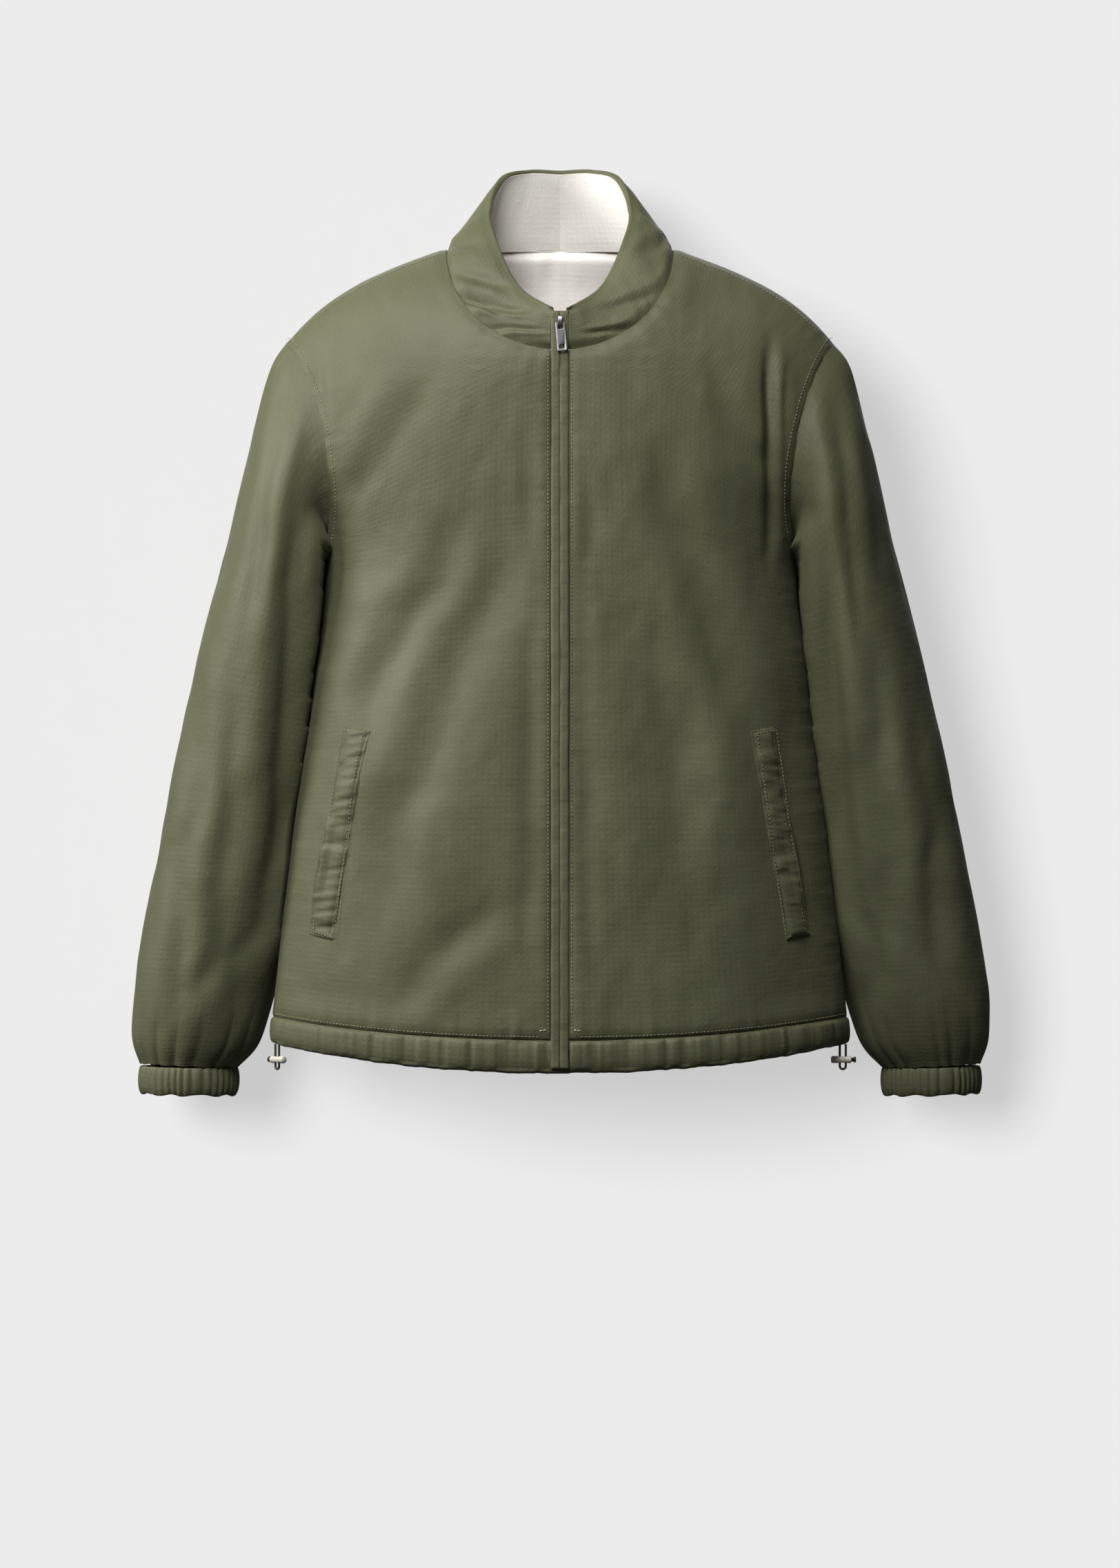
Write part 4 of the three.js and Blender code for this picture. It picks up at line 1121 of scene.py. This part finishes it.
pocketSizes = {"proud": 1.5, "gape": 4.2}
weltCorners = np.array([[188, -585.1], [209, -580.1], [177, -407], [156, -410]])
pouchCorners = np.array([[70, -631.1], [188, -599.1], [156, -404], [70, -430]])


def patchFlat(corners, u, v):
    low = mix(corners[0], corners[1], u[..., None])
    high = mix(corners[3], corners[2], u[..., None])
    spot = mix(low, high, v[..., None])
    return spot[..., 0], spot[..., 1]


def addPocket(side, sign):
    cut = pocketSizes
    columns, rows = 44, 260
    u = np.linspace(0, 1, columns)[None] * np.ones((rows, 1))
    v = np.linspace(0, 1, rows)[:, None] * np.ones((1, columns))
    x, z = patchFlat(weltCorners, u, v)
    inX, inZ = u * 21, v * 178
    edge = np.minimum(np.minimum(inX, 21 - inX), np.minimum(inZ, 178 - inZ))
    seed = 180 if sign < 0 else 190
    puff = 1.6 * np.sin(math.pi * u) ** 0.7 * np.minimum(1, edge / 6)
    cross = softNoise(inZ / 9, inX / 30, seed) * 1.3
    cross = cross + softNoise(inZ / 4.5 + inX / 12, inX / 20, seed + 1) * 0.6
    gape = cut["gape"] * eased(u, 0.55, 1) * np.sin(math.pi * np.clip((v - 0.05) / 0.6, 0, 1)) ** 1.5
    gape = gape * (1.5 if sign < 0 else 0.6)
    stitch = -0.7 * np.exp(-(((edge - 2.6) / 0.9) ** 2))
    roll = -1.5 * np.exp(-((edge / 1.1) ** 2))
    height = cut["proud"] + 0.9 + puff + cross * np.minimum(1, edge / 3) + gape + stitch + roll
    follow = shellHeight(x * sign, z, True) - 1.2
    outer = onBody(x * sign, z, True, height + follow)
    inner = onBody(x * sign, z, True, follow - 0.4 + gape * 0.5)
    welt = addSlab(f"{side}_pocket_welt_cloth", outer, inner, shellCloth, "root", flip=sign > 0)
    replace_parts(welt, f"{side}_pocket_welt")
    u = np.linspace(0, 1, 30)[None] * np.ones((60, 1))
    v = np.linspace(0, 1, 60)[:, None] * np.ones((1, 30))
    x, z = patchFlat(pouchCorners, u, v)
    lump = softNoise(x / 30, z / 30, seed + 2) * 0.25
    bag = addSlab(
        f"{side}_pocket_bag_cloth",
        onBody(x * sign, z, True, lump - 5.6),
        onBody(x * sign, z, True, lump - 7.0),
        liningCloth,
        "root",
        flip=sign > 0,
    )
    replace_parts(bag, f"{side}_pocket_bag")
    panels[welt.name], panels[bag.name] = welt, bag


for side, sign in sides.items():
    addPocket(side, sign)
print("pockets made")

# Zip

zipSizes = {"top": -63.0, "length": 626.0, "lean": 0.0207, "pitch": 2.4}


def zipPlace(x, y, down):  # zip's own x, depth and distance down from its top
    lean = zipSizes["lean"]
    depth = -85 + y * math.cos(lean) - down * math.sin(lean)
    return np.stack([x, depth, zipSizes["top"] + y * math.sin(lean) - down * math.cos(lean)], -1)


def addZipHalf(side, sign):
    down = np.linspace(0, zipSizes["length"] + 1.0, 420)
    seed = 200 if sign < 0 else 210
    sway = softNoise(down / 34, 0 * down, seed) * 0.35 + softNoise(down / 11, 0 * down, seed + 1) * 0.15
    lift = softNoise(down / 16, 0 * down, seed + 2) * 0.4 + softNoise(down / 6, 0 * down, seed + 3) * 0.2
    slit = 0.03 + 0.02 * (1 + softNoise(down / 50, 0 * down, 220))
    liftShares = np.array([0.2, 0.5, 1, 1, 1, 1, 1, 0.6, 0.3, 0, 0, 0])
    loops = []
    for k, d in enumerate(down):
        near = slit[k]
        outline = [
            (near, 0.9), (near, 0.0), (near, -0.7), (near + 0.25, -0.95), (2.2, -1.05),
            (4.6, -1.05), (6.4, -0.95), (7.1, -0.5), (7.5, 0.6), (7.0, 1.2), (4.0, 1.25), (1.6, 1.2),
        ]
        x = np.array([p[0] for p in outline]) + sway[k] * 0.5
        y = np.array([p[1] for p in outline]) - lift[k] * liftShares
        if d < 0.5 or d > zipSizes["length"]:
            y = y * 0.4
        loops.append(zipPlace(x * sign, y, d + 0 * x))
    loops = np.array(loops)
    guard = addTube(f"{side}_placket_strip", loops if sign > 0 else loops[:, ::-1], shellCloth, "root")
    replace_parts(guard, f"{side}_zip_guard")
    cadCopy(f"{side}_zip_tape", f"{side}_zip_tape_cloth", tapeCloth, "root", 0.12)
    cadCopy(f"{side}_top_stop", f"{side}_zip_top_stop", zipMetal, "root", 0.2)
    points, faces = [], []
    offset = 0.0 if sign < 0 else zipSizes["pitch"] / 2
    for d in np.arange(3.2 + offset, zipSizes["length"] - 9.5, zipSizes["pitch"]):
        start = len(points)
        for drop, halfDepth in ((0, 0.8), (0.25, 1.05), (1.0, 1.05), (1.25, 0.8)):
            for x, share in ((0.72, 0.6), (1.5, 1.0), (3.3, 0.85)):
                points.append(zipPlace(x * sign, 3.9 - halfDepth * share, d + drop))
                points.append(zipPlace(x * sign, 3.9 + halfDepth * share, d + drop))
        ring = [0, 2, 4, 5, 3, 1]
        for level in range(3):
            for a, b in zip(ring, ring[1:] + ring[:1]):
                low = start + level * 6
                faces.append([low + a, low + b, low + 6 + b, low + 6 + a])
        faces.append([start + a for a in ring[::-1]])
        faces.append([start + 18 + a for a in ring])
    teeth = addMesh(f"{side}_zip_tooth_row", points, faces, zipMetal, "root", smooth=False)
    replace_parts(teeth, f"{side}_zip_teeth")


for side, sign in sides.items():
    addZipHalf(side, sign)
cadCopy("insertion_pin", "zip_insertion_pin", zipMetal, "root", 0.25)
cadCopy("retainer_box", "zip_retainer_box", zipMetal, "root", 0.25)
slider = cadCopy("zip_slider", "zip_slider_body", zipMetal, "slider", 0.25)
bridge = cadCopy("slider_bridge", "zip_slider_ring", zipMetal, "slider", 0.22)
puller = cadCopy("zip_puller", "zip_puller_tab", zipMetal, "puller", 0.3)
print("zip made")

# Cord locks

for side, sign in sides.items():
    barrel = cadCopy(f"{side}_lock_body", f"{side}_cord_lock_barrel", lockPlastic, f"{side}_lock", 0.3)
    button = cadCopy(f"{side}_lock_button", f"{side}_cord_lock_button", buttonPlastic, f"{side}_button", 0.25)
    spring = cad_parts[f"{side}_lock_spring"]
    spring.data.materials.clear()
    spring.data.materials.append(zipMetal)
    loop, start, length = loops[side]
print("cord locks made")

# Stitching: each stitch is a short spindle of thread lying in the cloth

stitchSizes = {"pitch": 3.2, "length": 2.2, "radius": 0.42, "sink": 0.12}


def addStitches(name, rows, material, body):
    cut = stitchSizes
    points, faces = [], []
    for path, normals in rows:
        steps = np.concatenate([[0], np.cumsum(np.linalg.norm(np.diff(path, axis=0), axis=1))])
        for middle in np.arange(cut["pitch"] / 2, steps[-1], cut["pitch"]):
            ends = [
                np.array([np.interp(middle + d, steps, path[:, k]) for k in range(3)])
                for d in (-cut["length"] / 2, cut["length"] / 2)
            ]
            normal = np.array([np.interp(middle, steps, normals[:, k]) for k in range(3)])
            axis = ends[1] - ends[0]
            side = np.cross(normal, axis / max(np.linalg.norm(axis), 1e-6))
            start = len(points)
            for share, size in ((0.0, 0.35), (0.12, 0.85), (0.5, 1.0), (0.88, 0.85), (1.0, 0.35)):
                centre = ends[0] + axis * share + normal * (cut["sink"] + 0.2 * math.sin(math.pi * share))
                for k in range(6):
                    angle = k * math.pi / 3
                    ray = side * math.cos(angle) + normal * math.sin(angle)
                    points.append(centre + ray * cut["radius"] * size)
            for level in range(4):
                for k in range(6):
                    a, b = start + level * 6 + k, start + level * 6 + (k + 1) % 6
                    faces.append([a, b, b + 6, a + 6])
            faces.append([start + k for k in range(5, -1, -1)])
            faces.append([start + 24 + k for k in range(6)])
    points = np.array(points)
    return addMesh(name, points, faces, material, body, uvs=points[:, [0, 2]])


def bodyRow(line, front, sign, lift=0.0):  # a row of stitches along a line on one side of the body
    line = np.asarray(line, float)
    x, z = line[:, 0] * sign, line[:, 1]
    height = shellHeight(x, z, front)
    return keepSide(onBody(x, z, front, height + lift), front), bodyNormal(x, z, front)


def insideLine(line, inset):  # the same seam moved over by inset, towards the panel's middle
    line = np.asarray(line, float)
    along = np.gradient(line, axis=0)
    side = unit(np.stack([-along[:, 1], along[:, 0]], -1))
    return line + side * inset


def fineLine(points, count):
    points = np.asarray(points, float)
    steps = np.concatenate([[0], np.cumsum(np.linalg.norm(np.diff(points, axis=0), axis=1))])
    spots = np.linspace(0, steps[-1], count)
    return np.stack([np.interp(spots, steps, points[:, k]) for k in range(2)], -1)


for side, sign in sides.items():
    rows = [bodyRow(fineLine([[9.8, -661], [9.8, -99]], 500), True, sign)]
    armhole = fineLine(insideLine(seams[True]["armhole"], 6.0), 200)
    rows.append(bodyRow(armhole, True, sign))
    shoulder = fineLine(insideLine(seams[True]["shoulder"], -5.0)[1:-2], 100)
    rows.append(bodyRow(shoulder, True, sign))
    hem = fineLine(seams[True]["hem"][1:-3] + [0, 2.6], 300)
    rows.append(bodyRow(hem, True, sign))
    corners = weltCorners
    middle = corners.mean(0)
    loop = [c + (middle - c) * [0.22, 0.03] for c in corners]
    line = fineLine(loop + loop[:1], 400)
    x, z = line[:, 0] * sign, line[:, 1]
    height = shellHeight(x, z, True) + pocketSizes["proud"] + 0.5
    rows.append((onBody(x, z, True, height), bodyNormal(x, z, True)))
    addStitches(f"{side}_front_stitches", rows, threadCloth, "root")
backRows = []
for sign in (-1, 1):
    armhole = fineLine(insideLine(seams[False]["armhole"], 6.0), 200)
    backRows.append(bodyRow(armhole, False, sign))
    backRows.append(bodyRow(fineLine(seams[False]["hem"][:-3] + [0, 2.6], 300), False, sign))
addStitches("back_stitches", backRows, threadCloth, "root")
for side, sign in sides.items():
    # One short white tack holds each front's hem by the zip.
    tack = [bodyRow(fineLine([[11.0, -657.5], [17.6, -658.5]], 20), True, sign)]
    addStitches(f"{side}_hem_tack", tack, tackThread, "root")
print("stitches made")
# Stage and light


def addStage():
    wall = bpy.data.meshes.new("backdrop")
    wall.from_pydata([(-4, 0.118, -1.2), (4, 0.118, -1.2), (4, 0.118, 4), (-4, 0.118, 4)], [], [(0, 1, 2, 3)])
    floor = bpy.data.meshes.new("floor")
    floor.from_pydata([(-4, -5, -1.2), (4, -5, -1.2), (4, 5, -1.2), (-4, 5, -1.2)], [], [(0, 1, 2, 3)])
    dome = bpy.data.meshes.new("dome")
    shape = bmesh.new()
    bmesh.ops.create_uvsphere(shape, u_segments=48, v_segments=24, radius=14.0)
    shape.to_mesh(dome)
    shape.free()
    dome.shade_smooth()
    for name, mesh in (("backdrop", wall), ("floor", floor), ("dome", dome)):
        # Matt studio paper: even and pale, no gloss. The backdrop is seen from its front only.
        material, tree, shader = startMaterial(f"matt_{name}_paper")
        place = addNode(tree, "ShaderNodeTexCoord").outputs["Object"]
        grain = addNode(tree, "ShaderNodeTexNoise", {"Vector": place, "Scale": 40.0})
        ramp = addNode(tree, "ShaderNodeValToRGB", {"Fac": grain.outputs["Fac"]})
        ramp.color_ramp.elements[0].color = linear("#949494")
        ramp.color_ramp.elements[1].color = linear("#969696")
        tree.links.new(ramp.outputs["Color"], shader.inputs["Base Color"])
        shader.inputs["Emission Color"].default_value = (1, 1, 1, 1)
        shader.inputs["Emission Strength"].default_value = 0.57
        shader.inputs["Roughness"].default_value = 1.0
        shader.inputs["Specular IOR Level"].default_value = 0.0
        if name == "backdrop":
            clear = addNode(tree, "ShaderNodeBsdfTransparent")
            side = addNode(tree, "ShaderNodeNewGeometry")
            both = addNode(
                tree,
                "ShaderNodeMixShader",
                {0: side.outputs["Backfacing"], 1: shader.outputs[0], 2: clear.outputs[0]},
            )
            output = [n for n in tree.nodes if n.type == "OUTPUT_MATERIAL"][0]
            tree.links.new(both.outputs[0], output.inputs["Surface"])
        mesh.materials.append(material)
        thing = bpy.data.objects.new(name, mesh)
        scene.collection.objects.link(thing)
        thing.visible_diffuse = False
        thing.visible_glossy = False
        thing.visible_shadow = False


lightSizes = {"top": 61.0, "left": 42.0, "back": 1.0, "wall": 3.0, "sky": 0.06}


def addLight(name, kind, place, towards, strength, spread):
    data = bpy.data.lights.new(name, kind)
    data.energy = strength
    if kind == "SUN":
        data.angle = spread
    else:
        data.size = spread
    light = bpy.data.objects.new(name, data)
    light.location = place
    direction = unit(np.array(towards, float) - np.array(place, float))
    pitch = math.atan2(math.hypot(direction[0], direction[1]), -direction[2])
    light.rotation_euler = (pitch, 0, math.atan2(direction[1], direction[0]) - math.pi / 2)
    scene.collection.objects.link(light)
    return light


def lightOnly(light, thing, state):  # this light reaches only that thing, or everything but it
    group = bpy.data.collections.new(f"{light.name}_reach")
    group.objects.link(thing)
    group.collection_objects[0].light_linking.link_state = state
    light.light_linking.receiver_collection = group


def addLights():
    cut = lightSizes
    wall = bpy.data.objects["backdrop"]
    top = addLight("top_softbox", "AREA", (-0.6, -1.65, 1.42), (0, 0, -0.25), cut["top"], 1.0)
    left = addLight("left_softbox", "AREA", (-2.1, -0.52, 0.48), (-0.1, 0, -0.25), cut["left"], 0.8)
    back = addLight("back_softbox", "SUN", (0, 1, 0.5), (0, 0, 0), cut["back"], 0.9)
    for light in (top, left, back):
        lightOnly(light, wall, "EXCLUDE")
    lightOnly(addLight("wall_light", "SUN", (-0.5, -1, 0.27), (0, 0, 0), cut["wall"], 0.45), wall, "INCLUDE")
    world = bpy.data.worlds.new("studio")
    world.use_nodes = True
    world.node_tree.nodes["Background"].inputs["Color"].default_value = (1, 1, 1, 1)
    world.node_tree.nodes["Background"].inputs["Strength"].default_value = cut["sky"]
    scene.world = world


addStage()
addLights()
print("stage and lights made")
